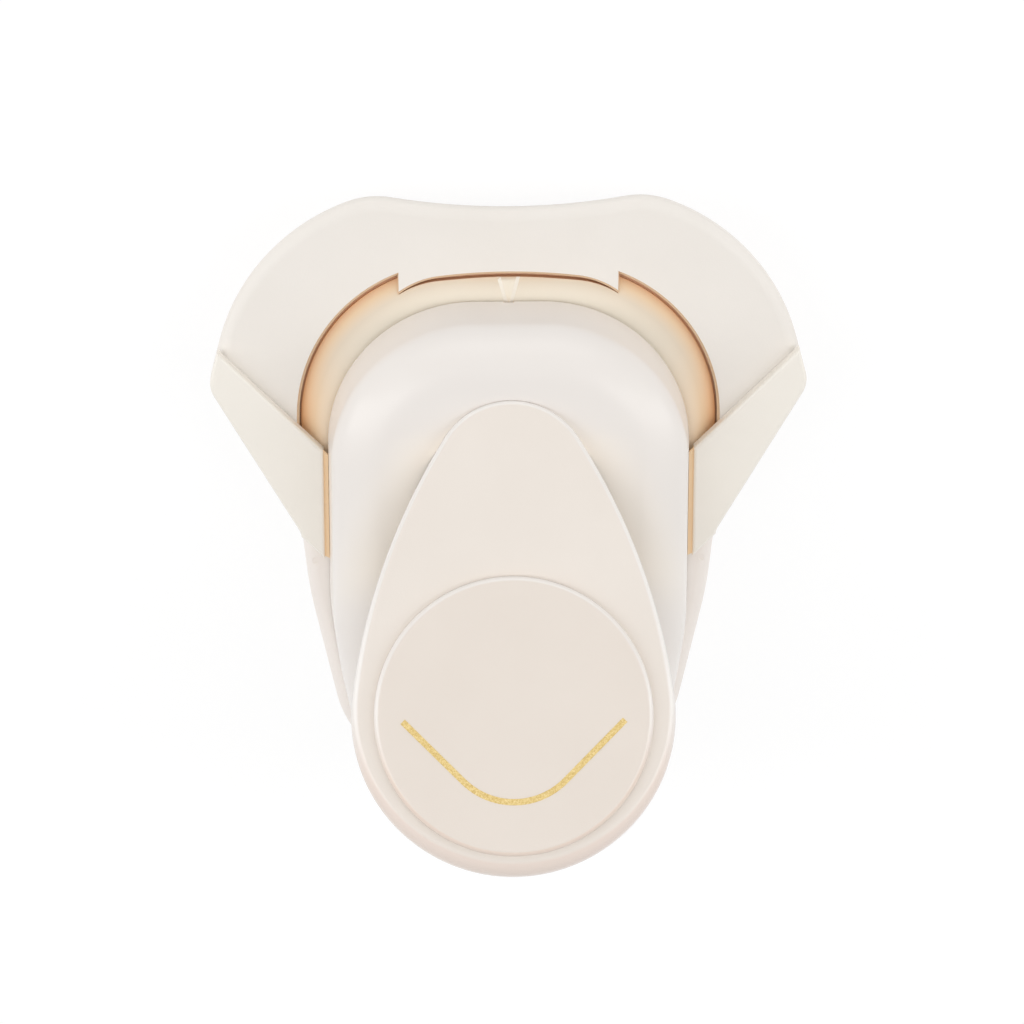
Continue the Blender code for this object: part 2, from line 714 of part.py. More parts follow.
def base_housing(material):
    """Moulded body: a tub with a deck under the table, a raised ledge behind it and screw bosses."""
    outline = base_outline()
    tub = shrunk(outline, TUB_INSET)
    housing = prism("base_housing", tub, TUB_LOW, DECK_TOP, material)
    ledge_rings = slab_rings(outline, DECK_TOP - FLANGE_OVERLAP, CARD_HEIGHT, EDGE_RADIUS, EDGE_RADIUS, EDGE_STEPS)
    ledge = loft("tail ledge", ledge_rings)
    reach = LENGTH
    front_y = TABLE_END_Y - GAP
    front_block = rectangle(reach, front_y, reach)
    cut(ledge, prism("ledge front", front_block, TUB_LOW, CARD_HEIGHT + OVERRUN))
    pocket = rectangle(DIE_HALF + GAP, DIE_REAR_Y - GAP, front_y + OVERRUN)
    cut(ledge, prism("die pocket", pocket, TUB_LOW, CARD_HEIGHT + OVERRUN))
    join(housing, ledge)
    inner = shrunk(outline, TUB_INSET + TUB_WALL)
    cut(housing, prism("tub hollow", inner, TUB_LOW - OVERRUN, DECK_UNDER))
    tail_inner = shrunk(outline, TUB_INSET + TUB_WALL + GAP)
    tail_hollow = prism("tail hollow", tail_inner, DECK_UNDER - OVERRUN, CARD_HEIGHT - DECK)
    cut(tail_hollow, prism("tail hollow front", rectangle(reach, HEAD_Y - TAIL_HOLLOW_BACK, reach), 0, reach))
    cut(housing, tail_hollow)
    screws = dome_screw_places()
    low = TUB_LOW + GAP
    high = DECK_TOP - DECK / 2
    bosses = hole("dome screw bosses", screws, SCREW_BOSS, low, CARD_HEIGHT - DECK / 2)
    table_bosses = hole("table screw bosses", table_screw_places(), SCREW_BOSS, low, high)
    die_bosses = hole("die screw bosses", die_screw_places(), SCREW_BOSS - GAP, low, high)
    springs = list(spring_places().values())
    post_bosses = hole("post bosses", springs, SCREW_BOSS, low, high)
    join(housing, bosses, table_bosses, die_bosses, post_bosses)
    cut(housing, prism("housing chute", chute_outline(), 0, CARD_HEIGHT))
    through = SCREW_RADIUS + GAP
    cut(housing, hole("dome screw holes", screws, through, 0, CARD_HEIGHT + OVERRUN))
    cut(housing, hole("table screw holes", table_screw_places(), through, 0, CARD_HEIGHT))
    cut(housing, hole("die screw holes", die_screw_places(), through, TUB_LOW + OVERRUN, CARD_HEIGHT))
    cut(housing, hole("post holes", springs, POST_RADIUS + RUN_GAP, DECK_TOP - DECK, CARD_HEIGHT))
    dimples = mirrored_places((DIMPLE_HALF, HEAD_Y - DIMPLE_BACK))
    cut(housing, hole("dimples", dimples, DIMPLE_RADIUS, CARD_HEIGHT - DIMPLE_DEPTH, CARD_HEIGHT + OVERRUN))


def paper_table(material):
    """The plate under the card: round edged outside, with the big cut-out and its thinner tab."""
    rings = slab_rings(
        base_outline(), CARD_HEIGHT - TABLE_THICKNESS, CARD_HEIGHT, EDGE_RADIUS, EDGE_RADIUS, EDGE_STEPS
    )
    table = loft("paper_table", rings, material)
    low = CARD_HEIGHT - TABLE_THICKNESS - OVERRUN
    high = CARD_HEIGHT + OVERRUN
    cut(table, prism("table rear", rectangle(LENGTH, -LENGTH, TABLE_END_Y), low, high))
    cut(table, prism("table cut-out", moat_outline(), low, high))
    cut(table, prism("under the tab", inset(round_outline(), GAP / 2), low, CARD_HEIGHT - TAB_THICKNESS))
    pegs = peg_places(1) + peg_places(-1)
    cut(table, hole("peg holes", pegs, PEG_RADIUS + GAP, low, high))
    screw_top = CARD_HEIGHT - TABLE_THICKNESS + TABLE_SCREW_SINK + GAP
    cut(table, hole("table threads", table_screw_places(), SCREW_RADIUS + GAP, low, screw_top))


def card_guide(side, material):
    """A wing on the table whose straight edge stops one edge of the card."""
    low = CARD_HEIGHT + GAP
    high = CARD_HEIGHT + GUIDE_HEIGHT
    guide = prism("guide_left" if side < 0 else "guide_right", base_outline(), low, high, material)
    reach = LENGTH
    tip_y = HEAD_Y - GUIDE_TIP_BACK
    tip_run = WAIST_HALF - WALL_LINE
    keep = [
        (side * WALL_LINE, HEAD_Y),
        (side * (WALL_LINE + reach), HEAD_Y + reach),
        (side * (WALL_LINE + reach), tip_y + reach),
        (side * (WALL_LINE + tip_run), tip_y + tip_run),
        (side * WALL_LINE, tip_y),
    ]
    if side < 0:
        keep.reverse()
    shape = prism("guide shape " + guide.name, keep, 0, reach)
    combine(guide, shape, "INTERSECT")
    bevel(guide, GUIDE_EDGE, 2)
    peg_low = CARD_HEIGHT - PEG_DEPTH
    pegs = hole("pegs " + guide.name, peg_places(side), PEG_RADIUS, peg_low, low + (GUIDE_HEIGHT - GAP) / 2)
    join(guide, pegs)


def card_bed(material):
    """Lead-in inside the cut-out: it climbs from a low rim to the card's level at the dome, with an arrow."""
    centre = Vector((0, HEAD_Y))
    dome = dome_outline()
    outer = round_outline(MOAT_GAP)
    inner = []
    for x, y in outer:
        way = (Vector((x, y)) - centre).normalized()
        reaches = [DOME_HALF]
        for index, point in enumerate(dome):
            start = Vector(dome[index - 1]) - centre
            along = Vector(point) - Vector(dome[index - 1])
            spread = way.cross(along)
            if abs(spread) > 0:
                reach = start.cross(along) / spread
                share = start.cross(way) / spread
                if reach > 0 and 0 <= share <= 1:
                    reaches.append(reach)
        inner.append(tuple(centre + way * min(reaches)))
    low = DECK_TOP + BED_UNDER_GAP
    rim = CARD_HEIGHT - BED_RIM_DROP
    top = CARD_HEIGHT - BED_TOP_DROP
    rings = [at_height(outer, low)]
    for index in range(BED_STEPS + 1):
        share = index / BED_STEPS
        height = rim + (top - rim) * (1 - (1 - share) ** BED_CURVE)
        ring = [tuple(Vector(o).lerp(Vector(i), share)) for o, i in zip(outer, inner)]
        rings.append(at_height(ring, height))
    bed = loft("card_bed", rings, material)
    cut(bed, prism("bed rear", rectangle(LENGTH, -LENGTH, TABLE_END_Y), 0, LENGTH))
    tab_front = rectangle(TAB_HALF + MOAT_GAP, HEAD_Y, HEAD_Y + LENGTH)
    tab_room = prism("tab room", tab_front, CARD_HEIGHT - TAB_THICKNESS - GAP, CARD_HEIGHT)
    cut(tab_room, prism("tab room limit", moat_outline(MOAT_GAP), 0, LENGTH))
    cut(bed, tab_room)
    tip_y = HEAD_Y + DOME_NOSE - ARROW_HALF
    start_y = HEAD_Y + TAB_MIDDLE_REACH - MOAT_GAP - GAP
    arrow_outline = [
        (-ARROW_TIP_HALF, tip_y),
        (ARROW_TIP_HALF, tip_y),
        (ARROW_HALF, start_y),
        (-ARROW_HALF, start_y),
    ]
    arrow_top = CARD_HEIGHT - ARROW_DROP
    join(bed, prism("arrow", arrow_outline, arrow_top - ARROW_HEIGHT, arrow_top))


def die_set_holes(name, plate, low, high):
    """Cuts the screw and spring holes that run through the whole die set."""
    cut(plate, hole(name + " screw holes", die_screw_places(), SCREW_RADIUS + GAP, low, high))
    room = SPRING_RADIUS + SPRING_WIRE / 2 + SPRING_POCKET
    cut(plate, hole(name + " spring holes", list(spring_places().values()), room, low, high))


def die_plate(material):
    """Lower steel plate, with the opening that the punch shears against."""
    plate = prism("die_plate", rectangle(DIE_HALF, DIE_REAR_Y, DIE_FRONT_Y), DIE_LOW, DIE_TOP, material)
    low = DIE_LOW - OVERRUN
    high = DIE_TOP + OVERRUN
    cut(plate, prism("die opening", inset(punch_outline(), -RUN_GAP), low, high))
    die_set_holes("die", plate, low, high)


def punch_guide(material):
    """Upper steel plate that guides the punch above the card."""
    front = HEAD_Y - PUNCH_GUIDE_FRONT
    outline = rectangle(DIE_HALF, DIE_REAR_Y, front)
    plate = prism("punch_guide", outline, LIP_Z, GUIDE_PLATE_TOP, material)
    low = LIP_Z - OVERRUN
    high = GUIDE_PLATE_TOP + OVERRUN
    cut(plate, prism("guide opening", inset(punch_outline(), -RUN_GAP), low, high))
    die_set_holes("guide plate", plate, low, high)


def card_stop(side, material):
    """Steel spacer in the card slot whose slanting edge carries on the guide's line under the dome."""
    name = "card_stop_left" if side < 0 else "card_stop_right"
    strip_y = HEAD_Y - (WALL_LINE - STOP_OUTER) - STOP_STRIP
    outline = [
        (STOP_INNER, APEX_Y + STOP_INNER),
        (STOP_INNER, DIE_REAR_Y),
        (DIE_HALF, DIE_REAR_Y),
        (DIE_HALF, strip_y),
        (STOP_OUTER, strip_y),
        (STOP_OUTER, APEX_Y + STOP_OUTER),
    ]
    outline = [(side * x, y) for x, y in outline]
    low = CARD_HEIGHT + GAP
    high = LIP_Z - GAP
    stop = prism(name, outline, low, high, material)
    die_set_holes(name, stop, low - OVERRUN, high + OVERRUN)


def punch(material):
    """The steel punch: its lower end cuts, and its tang sits in the holder."""
    blade = prism("punch", punch_outline(), PUNCH_LOW, PUNCH_TOP, material, origin=(0, ACTION_Y, PUNCH_TOP))
    tang_outline = rectangle(TANG_HALF, ACTION_Y - TANG_LENGTH / 2, ACTION_Y + TANG_LENGTH / 2)
    join(blade, prism("tang", tang_outline, PUNCH_TOP - TANG_SINK, FLANGE_LOW + TANG_RISE))
    cut(blade, cross_cutter("tang pin hole"))


def cross_cutter(name):
    """The hole for the cross pin that holds the punch in its holder."""
    centre = (ACTION_Y, FLANGE_LOW + HOLDER_PIN_RISE)
    outline = circle(centre, HOLDER_PIN_RADIUS + RUN_GAP, SCREW_SIDES)
    return side_prism(name, outline, -LENGTH, LENGTH)


def punch_holder(material):
    """Moulded block that carries the punch: a flange over the springs and a column up to the lever."""
    half_flange = HOLDER_FLANGE_LENGTH / 2
    room = SPRING_RADIUS + SPRING_WIRE / 2
    half = SPRING_HALF + room + GAP
    outline = rectangle(half, ACTION_Y - half_flange, ACTION_Y + half_flange)
    origin = (0, ACTION_Y, FLANGE_TOP)
    holder = prism("punch_holder", outline, FLANGE_LOW, FLANGE_TOP, material, origin=origin)
    half_column = COLUMN_LENGTH / 2
    column = rectangle(COLUMN_HALF, ACTION_Y - half_column, ACTION_Y + half_column)
    join(holder, prism("column", column, FLANGE_LOW, COLUMN_TOP))
    bevel(holder, GAP, 1)
    tang = rectangle(TANG_HALF + GAP, ACTION_Y - TANG_LENGTH / 2 - GAP, ACTION_Y + TANG_LENGTH / 2 + GAP)
    cut(holder, prism("tang pocket", tang, FLANGE_LOW - OVERRUN, FLANGE_LOW + TANG_RISE + GAP))
    posts = list(spring_places().values())
    post_room = POST_RADIUS + GAP
    cut(holder, hole("holder post holes", posts, post_room, FLANGE_LOW - OVERRUN, FLANGE_TOP + OVERRUN))
    cut(holder, cross_cutter("column pin hole"))


def punch_pin(material):
    """Cross pin through the holder's column and the punch's tang."""
    centre = (ACTION_Y, FLANGE_LOW + HOLDER_PIN_RISE)
    outline = circle(centre, HOLDER_PIN_RADIUS, SCREW_SIDES)
    half = COLUMN_HALF - GAP / 2
    side_prism("punch_pin", outline, -half, half, material, origin=(0, *centre))


def spring_path(centre, low, high):
    """Centre line of a return spring: a helix whose two ends stand straight for one wire."""
    start = low + SPRING_WIRE
    climb = high - SPRING_WIRE - start
    count = SPRING_TURNS * SPRING_POINTS
    points = [(centre[0] + SPRING_RADIUS, centre[1], low)]
    for index in range(count + 1):
        angle = 2 * math.pi * index / SPRING_POINTS
        x = centre[0] + SPRING_RADIUS * math.cos(angle)
        y = centre[1] + SPRING_RADIUS * math.sin(angle)
        points.append((x, y, start + climb * index / count))
    points.append((centre[0] + SPRING_RADIUS, centre[1], high))
    return points


def least_gap(points, wire):
    """Least clear distance between turns, measured on the points of the centre line."""
    apart = SPRING_POINTS // 2
    found = [
        (Vector(first) - Vector(second)).length
        for index, first in enumerate(points)
        for second in points[index + apart :]
    ]
    return min(found) - wire


def return_spring(name, centre, material):
    """A return spring between the base deck and the holder's flange."""
    points = spring_path(centre, DECK_TOP + GAP, FLANGE_LOW - GAP)
    print(name, "least gap between turns, mm:", round(least_gap(points, SPRING_WIRE) / MM, 2))
    curve = bpy.data.curves.new(name, "CURVE")
    curve.dimensions = "3D"
    curve.bevel_depth = SPRING_WIRE / 2
    curve.bevel_resolution = 1
    curve.use_fill_caps = True
    spline = curve.splines.new("POLY")
    spline.points.add(len(points) - 1)
    for target, point in zip(spline.points, points):
        target.co = (*point, 1.0)
    curve.materials.append(material)
    item = bpy.data.objects.new(name, curve)
    bpy.context.scene.collection.objects.link(item)


def spring_post(name, centre, material):
    """Steel post inside a spring; the holder's flange slides down over it."""
    tip = POST_RADIUS / 2
    profile = [
        (POST_RADIUS, DECK_TOP - POST_SINK),
        (POST_RADIUS, DECK_TOP + POST_RISE - tip),
        (tip, DECK_TOP + POST_RISE),
    ]
    turned(name, [centre], profile, SCREW_SIDES, material)


def dome_skin(outline, wall):
    """Rings of one side of the dome, from its lower edge up to its crown."""
    middle = (0, HEAD_Y - ACTION_BACK / 2)
    rings = [at_height(inset(outline, wall), DOME_LOW)]
    for index in range(SHOULDER_STEPS + 1):
        angle = math.pi / 2 * index / SHOULDER_STEPS
        side = DOME_DRAFT + wall + (SHOULDER_WIDTH - wall) * (1 - math.cos(angle))
        height = SHOULDER_Z + (SHOULDER_HEIGHT - wall) * math.sin(angle)
        rings.append(at_height(inset(outline, side), height))
    last = inset(outline, DOME_DRAFT + SHOULDER_WIDTH)
    for share in CROWN_SHARES:
        height = DOME_TOP - wall + CROWN_HEIGHT * (1 - share**2)
        rings.append(at_height(scaled(last, middle, share), height))
    return rings


def lever_outline():
    """The lever seen square to its top face: small round tip, bowed sides and a large round end."""
    tip = (0, LEVER_TIP - TIP_RADIUS)
    end = (0, PAD_Y)
    to_tip = SIDE_RADIUS - TIP_RADIUS
    to_end = SIDE_RADIUS - END_RADIUS
    along = (CENTRES**2 + to_tip**2 - to_end**2) / (2 * CENTRES)
    side = (-math.sqrt(to_tip**2 - along**2), tip[1] - along)
    tip_angle = math.atan2(tip[1] - side[1], -side[0])
    end_angle = math.atan2(end[1] - side[1], -side[0])
    quarter = math.pi / 2
    right = arc(tip, TIP_RADIUS, quarter, tip_angle)
    right += arc(side, SIDE_RADIUS, tip_angle, end_angle)[1:]
    right += arc(end, END_RADIUS, end_angle, -quarter)[1:]
    return both_sides(right)


def lever_share(y):
    """0 at the lever's tip and 1 at its round end."""
    return (LEVER_TIP - y) / (TIP_RADIUS + CENTRES + END_RADIUS)


def lever_opening():
    """Cutter for the dome: where the raised lever passes through its top, and a slot behind for the action."""
    rear_y = HEAD_Y - OPENING_REAR
    grown = inset(lever_outline(), -OPENING_GAP)
    crossing = PIVOT_Y + (DOME_TOP - PIVOT_Z) * math.tan(REST_TILT)
    world = [(x, crossing + y / math.cos(REST_TILT)) for x, y in grown]
    right = [(x, y) for x, y in world if x > -CURVE_TOLERANCE and y > rear_y]
    right.sort(key=lambda point: point[0])
    right += [
        (right[-1][0], rear_y),
        (OPENING_SLOT_HALF, rear_y),
        (OPENING_SLOT_HALF, HEAD_Y - OPENING_SLOT_BACK),
        (0, HEAD_Y - OPENING_SLOT_BACK),
    ]
    return prism("lever opening", both_sides(right), CEILING - OPENING_SKIN, DOME_TOP + OVERRUN * 3)


def dome_cover(material):
    """Top cover: a domed shell with the card slot under its lip, screw bosses and the pivot's ears."""
    outline = dome_outline()
    rings = list(reversed(dome_skin(outline, DOME_WALL))) + dome_skin(outline, 0)
    dome = loft("dome_cover", rings, material)
    screws = dome_screw_places()
    join(dome, hole("dome bosses", screws, SCREW_BOSS, DOME_LOW, DOME_LOW + DOME_BOSS_RISE))
    low = PIVOT_Z - EAR_DEPTH
    for side in (1, -1):
        ear = [
            (side * EAR_INNER, PIVOT_Y - EAR_HALF_LENGTH),
            (side * (EAR_INNER + EAR_THICKNESS), PIVOT_Y - EAR_HALF_LENGTH),
            (side * (EAR_INNER + EAR_THICKNESS), PIVOT_Y + EAR_HALF_LENGTH),
            (side * EAR_INNER, PIVOT_Y + EAR_HALF_LENGTH),
        ]
        join(dome, prism("ear " + str(side), ear, low, CEILING + DOME_WALL / 2))
    cut(dome, lever_opening())
    pin = circle((PIVOT_Y, PIVOT_Z), PIVOT_RADIUS + RUN_GAP, SCREW_SIDES)
    pin_room = PIVOT_HALF_LENGTH + GAP
    cut(dome, side_prism("dome pin hole", pin, -pin_room, pin_room))
    slot_y = HEAD_Y - GUIDE_GAP
    cut(dome, prism("card slot", rectangle(LENGTH, slot_y, LENGTH), 0, LIP_Z))
    nose_y = HEAD_Y + DOME_NOSE
    notch = rectangle(NOTCH_WIDTH / 2, nose_y - NOTCH_DEPTH, nose_y + OVERRUN)
    cut(dome, prism("sight notch", notch, LIP_Z - OVERRUN, LIP_Z + NOTCH_HEIGHT))
    thread_top = DOME_LOW + DOME_SCREW_RISE + GAP
    cut(dome, hole("dome threads", screws, SCREW_RADIUS + GAP, 0, thread_top))


def lever_shell(material, axis):
    """The teardrop cap: a top face with rounded edges and a skirt that deepens towards the round end."""
    outline = lever_outline()
    inner = inset(outline, SKIRT_WALL)

    def skirt_z(y):
        return LEVER_TOP - SKIRT_FRONT - (SKIRT_REAR - SKIRT_FRONT) * lever_share(y) ** 2

    roof = LEVER_TOP - LEVER_ROOF
    rings = [
        at_height(inner, roof),
        [(x, y, min(skirt_z(y), roof - GAP)) for x, y in inner],
        [(x, y, min(skirt_z(y), roof - GAP)) for x, y in outline],
    ]
    for share, drop in edge_profile(1.0, LEVER_EDGE_STEPS):
        ring = []
        for point, other in zip(outline, inset(outline, SKIRT_WALL)):
            radius = LEVER_EDGE_FRONT + (LEVER_EDGE_REAR - LEVER_EDGE_FRONT) * lever_share(point[1])
            moved = Vector(point).lerp(Vector(other), share * radius / SKIRT_WALL)
            ring.append((moved.x, moved.y, LEVER_TOP - drop * radius))
        rings.append(ring)
    shell = loft("lever_shell", rings, material, axis)
    recess = circle((0, PAD_Y), PAD_RADIUS + GAP, PAD_SIDES)
    cut(shell, prism("pad recess", recess, LEVER_TOP - PAD_RECESS, LEVER_TOP + OVERRUN, parent=axis))
    places = [(0, -back) for back in LEVER_SCREW_BACKS]
    thread_top = roof + LEVER_SCREW_SINK + GAP
    cut(shell, hole("lever threads", places, SCREW_RADIUS + GAP, roof - OVERRUN, thread_top, axis))


def lever_frame(material, axis):
    """Steel frame under the cap: two cheeks from the pivot to the press pin, and the web between them."""
    top = LEVER_TOP - LEVER_ROOF - GAP
    quarter = math.pi / 2
    end_radius = PRESS_RADIUS + (BOSS_RADIUS - PIVOT_RADIUS)
    front = arc((0, 0), BOSS_RADIUS, -quarter, quarter / 2)
    rear = arc((-PRESS_REACH, 0), end_radius, -2 * quarter, -quarter)
    profile = front + [(-WEB_FRONT, top), (-WEB_BACK, top)] + rear
    frame = side_prism("lever_frame", profile, -CHEEK_OUTER, CHEEK_OUTER, material, axis)
    inner = CHEEK_OUTER - CHEEK_THICKNESS
    reach = WEB_BACK * 2
    web_low = top - WEB_THICKNESS
    cut(frame, prism("between cheeks", rectangle(inner, -reach, reach), -reach, web_low, parent=axis))
    ahead = rectangle(inner, -WEB_FRONT, reach)
    cut(frame, prism("ahead of web", ahead, web_low - OVERRUN, reach, parent=axis))
    pin = circle((0, 0), PIVOT_RADIUS + RUN_GAP, SCREW_SIDES)
    cut(frame, side_prism("frame pin hole", pin, -reach, reach, parent=axis))
    press = circle((-PRESS_REACH, 0), PRESS_RADIUS + RUN_GAP, SCREW_SIDES)
    cut(frame, side_prism("frame press hole", press, -reach, reach, parent=axis))
    places = [(0, -back) for back in LEVER_SCREW_BACKS]
    cut(frame, hole("frame screw holes", places, SCREW_RADIUS + GAP, 0, top + OVERRUN, axis))


def lever_screws(material, axis):
    """Screws from under the web up into the cap."""
    roof = LEVER_TOP - LEVER_ROOF
    web_low = roof - GAP - WEB_THICKNESS
    head_z = web_low - GAP - SCREW_HEAD
    places = [(0, -back) for back in LEVER_SCREW_BACKS]
    screws("lever_screw", places, head_z, roof + LEVER_SCREW_SINK, material, axis)


def press_pin(material, axis):
    """Dowel between the cheeks that bears on the punch holder."""
    outline = circle((-PRESS_REACH, 0), PRESS_RADIUS, SCREW_SIDES)
    side_prism("press_pin", outline, -CHEEK_OUTER, CHEEK_OUTER, material, axis)


def pivot_pin(material):
    """Dowel that the lever turns on."""
    outline = circle((PIVOT_Y, PIVOT_Z), PIVOT_RADIUS, SCREW_SIDES)
    half = PIVOT_HALF_LENGTH
    side_prism("pivot_pin", outline, -half, half, material, origin=(0, PIVOT_Y, PIVOT_Z))


def mark_outline(grow=0):
    """The corner mark seen from above: a quarter arc between two straight arms, as a stroke."""
    half = MARK_WIDTH / 2 + grow
    quarter = math.pi / 2
    centre = (0, PAD_Y - MARK_APEX + CORNER_RADIUS * math.sqrt(2))
    outer = arc(centre, CORNER_RADIUS + half, -quarter, -quarter / 2)
    inner = arc(centre, CORNER_RADIUS - half, -quarter / 2, -quarter)
    run = MARK_SPAN / 2 - CORNER_RADIUS / math.sqrt(2) + grow
    outer_end = (outer[-1][0] + run, outer[-1][1] + run)
    inner_end = (inner[0][0] + run, inner[0][1] + run)
    right = outer + [outer_end, inner_end] + inner
    return [(-x, y) for x, y in right[::-1]][:-1] + right[:-1]


def thumb_pad(material, axis):
    """Raised round pad, with a groove for the corner mark."""
    outline = circle((0, PAD_Y), PAD_RADIUS, PAD_SIDES)
    low = LEVER_TOP - PAD_RECESS + GAP
    high = LEVER_TOP + PAD_PROUD
    rings = [at_height(outline, low)]
    rings += [at_height(inset(outline, d), high - drop) for d, drop in edge_profile(PAD_EDGE, PAD_EDGE_STEPS)]
    pad = loft("thumb_pad", rings, material, axis)
    groove = MARK_THICKNESS - MARK_PROUD + MARK_GAP
    cut(pad, prism("mark groove", mark_outline(MARK_GAP), high - groove, high + OVERRUN, parent=axis))


def corner_mark(material, axis):
    """Foil line on the pad that shows the corner that is cut."""
    top = LEVER_TOP + PAD_PROUD + MARK_PROUD
    prism("corner_mark", mark_outline(), top - MARK_THICKNESS, top, material, axis)


def foot(name, centre, material):
    """Rubber foot in its recess under the pan."""
    rim = GAP
    profile = [(FOOT_RADIUS - rim, 0), (FOOT_RADIUS, rim), (FOOT_RADIUS, FOOT_THICKNESS)]
    turned(name, [centre], profile, SCREW_SIDES + SCREW_SIDES // 2, material)


def build():
    """Builds every piece."""
    clear_scene()
    cream = make_material("cream plastic", (0.84, 0.79, 0.73), 0.55)
    table_cream = make_material("table plastic", (0.86, 0.81, 0.75), 0.6)
    gloss = make_material("satin white plastic", (0.86, 0.83, 0.80), 0.28)
    foil = make_material("gold foil", (0.79, 0.62, 0.30), 0.35, 0.9)
    steel = make_material("ground steel", (0.56, 0.57, 0.58), 0.3, 1.0)
    spring_steel = make_material("spring steel", (0.46, 0.46, 0.47), 0.25, 1.0)
    nylon = make_material("grey nylon", (0.62, 0.60, 0.57), 0.5)
    rubber = make_material("foot rubber", (0.32, 0.30, 0.29), 0.85)

    axis = bpy.data.objects.new("lever axis", None)
    bpy.context.scene.collection.objects.link(axis)
    axis.location = (0, PIVOT_Y, PIVOT_Z)
    axis.rotation_euler = (-REST_TILT, 0, 0)

    base_pan(cream)
    base_housing(cream)
    paper_table(table_cream)
    card_bed(cream)
    for side in (-1, 1):
        card_guide(side, table_cream)
        card_stop(side, steel)
    die_plate(steel)
    punch_guide(steel)
    punch(steel)
    punch_holder(nylon)
    punch_pin(steel)
    for name, centre in spring_places().items():
        return_spring("return_spring_" + name, centre, spring_steel)
        spring_post("spring_post_" + name, centre, steel)
    dome_cover(gloss)
    pivot_pin(steel)
    lever_shell(cream, axis)
    lever_frame(steel, axis)
    lever_screws(steel, axis)
    press_pin(steel, axis)
    thumb_pad(cream, axis)
    corner_mark(foil, axis)
    for name, centre in foot_places().items():
        foot("foot_" + name, centre, rubber)
    screws("base_screw", dome_screw_places(), FOOT_PROUD + GAP, DOME_LOW + DOME_SCREW_RISE, steel)
    table_tip = CARD_HEIGHT - TABLE_THICKNESS + TABLE_SCREW_SINK
    screws("table_screw", table_screw_places(), FOOT_PROUD + GAP, table_tip, steel)
    die_head = GUIDE_PLATE_TOP + GAP + SCREW_HEAD
    screws("die_screw", die_screw_places(), die_head, TUB_LOW + OVERRUN + GAP, steel)


build()
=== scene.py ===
"""Looks of the corner rounder punch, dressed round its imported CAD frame.

Metres, in the frame of the CAD: +X across, +Y towards the card entry, +Z up.
The outer shells are built again here with finer curves and softened edges, and stand for their CAD nodes.
The inner pieces keep their CAD meshes and get finished materials.
"""

import math

import bmesh
import bpy
from mathutils import Matrix, Vector


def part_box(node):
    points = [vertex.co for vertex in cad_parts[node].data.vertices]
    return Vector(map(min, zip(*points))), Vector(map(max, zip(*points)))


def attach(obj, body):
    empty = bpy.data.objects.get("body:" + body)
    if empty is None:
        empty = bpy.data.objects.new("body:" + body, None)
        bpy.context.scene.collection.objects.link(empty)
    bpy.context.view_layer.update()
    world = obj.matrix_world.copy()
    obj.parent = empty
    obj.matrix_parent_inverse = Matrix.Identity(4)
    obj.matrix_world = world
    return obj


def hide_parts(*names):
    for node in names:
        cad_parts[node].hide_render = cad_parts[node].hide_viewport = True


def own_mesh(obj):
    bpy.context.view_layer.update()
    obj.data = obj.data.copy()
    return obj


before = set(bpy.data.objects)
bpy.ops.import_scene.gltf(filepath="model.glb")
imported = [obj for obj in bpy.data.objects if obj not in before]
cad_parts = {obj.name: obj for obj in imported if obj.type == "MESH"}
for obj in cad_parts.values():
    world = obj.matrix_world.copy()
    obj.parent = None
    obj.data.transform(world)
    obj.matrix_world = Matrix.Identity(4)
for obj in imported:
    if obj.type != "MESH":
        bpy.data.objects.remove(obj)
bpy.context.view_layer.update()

MM = 0.001

# Sizes, as in the CAD but for small forms that follow the photograph more closely
LENGTH = 87.05 * MM
LEVER_OVERHANG = 2.6 * MM
CARD_HEIGHT = 12.0 * MM
CORNER_RADIUS = 10.0 * MM
REST_TILT = math.radians(20.0)
GAP = 0.3 * MM
RUN_GAP = 0.25 * MM
OVERRUN = 1.0 * MM

HEAD_SETBACK = 36.85 * MM
DOME_WIDTH = 51.6 * MM
DOME_NOSE = 22.0 * MM
NOSE_RADIUS = 21.0 * MM
DOME_HIP_HALF = 24.6 * MM
DOME_HIP_AHEAD = 18.7 * MM
DOME_TAIL_HALF = 21.2 * MM
DOME_TAIL_LEDGE = 2.8 * MM
DOME_TAIL_RADIUS = 12.0 * MM
DOME_SIDE_RADIUS = 40.0 * MM
DOME_WALL = 2.0 * MM
DOME_WALL_HEIGHT = 8.3 * MM
DOME_DRAFT = 0.6 * MM
SHOULDER_WIDTH = 7.5 * MM
SHOULDER_HEIGHT = 6.0 * MM
CROWN_HEIGHT = 0.5 * MM
CROWN_REACH_SHARE = 0.7
CARD_SLOT = 0.5 * MM
NOTCH_RADIUS = 1.0 * MM
NOTCH_DEPTH = 0.35 * MM
NOTCH_HEIGHT = 0.4 * MM

TABLE_THICKNESS = 3.1 * MM
TABLE_RADIUS = 29.8 * MM
TABLE_BAND = 11.85 * MM
TABLE_AHEAD = 8.2 * MM
BUMP_RADIUS = 12.0 * MM
FRONT_DIP = 1.6 * MM
EDGE_RADIUS = 1.4 * MM
WING_START = 16.0 * MM
WING_PROUD = 0.6 * MM
WING_AHEAD = 9.9 * MM
WING_RADIUS = 4.0 * MM
WAIST_LEDGE = 4.0 * MM
WAIST_BACK = 12.2 * MM
WAIST_RADIUS = 3.0 * MM
HIP_LEDGE = 2.95 * MM
HIP_BACK = 22.0 * MM
HIP_RADIUS = 60.0 * MM
TAIL_SIDE_LEDGE = 1.2 * MM
TAIL_RADIUS = 15.0 * MM

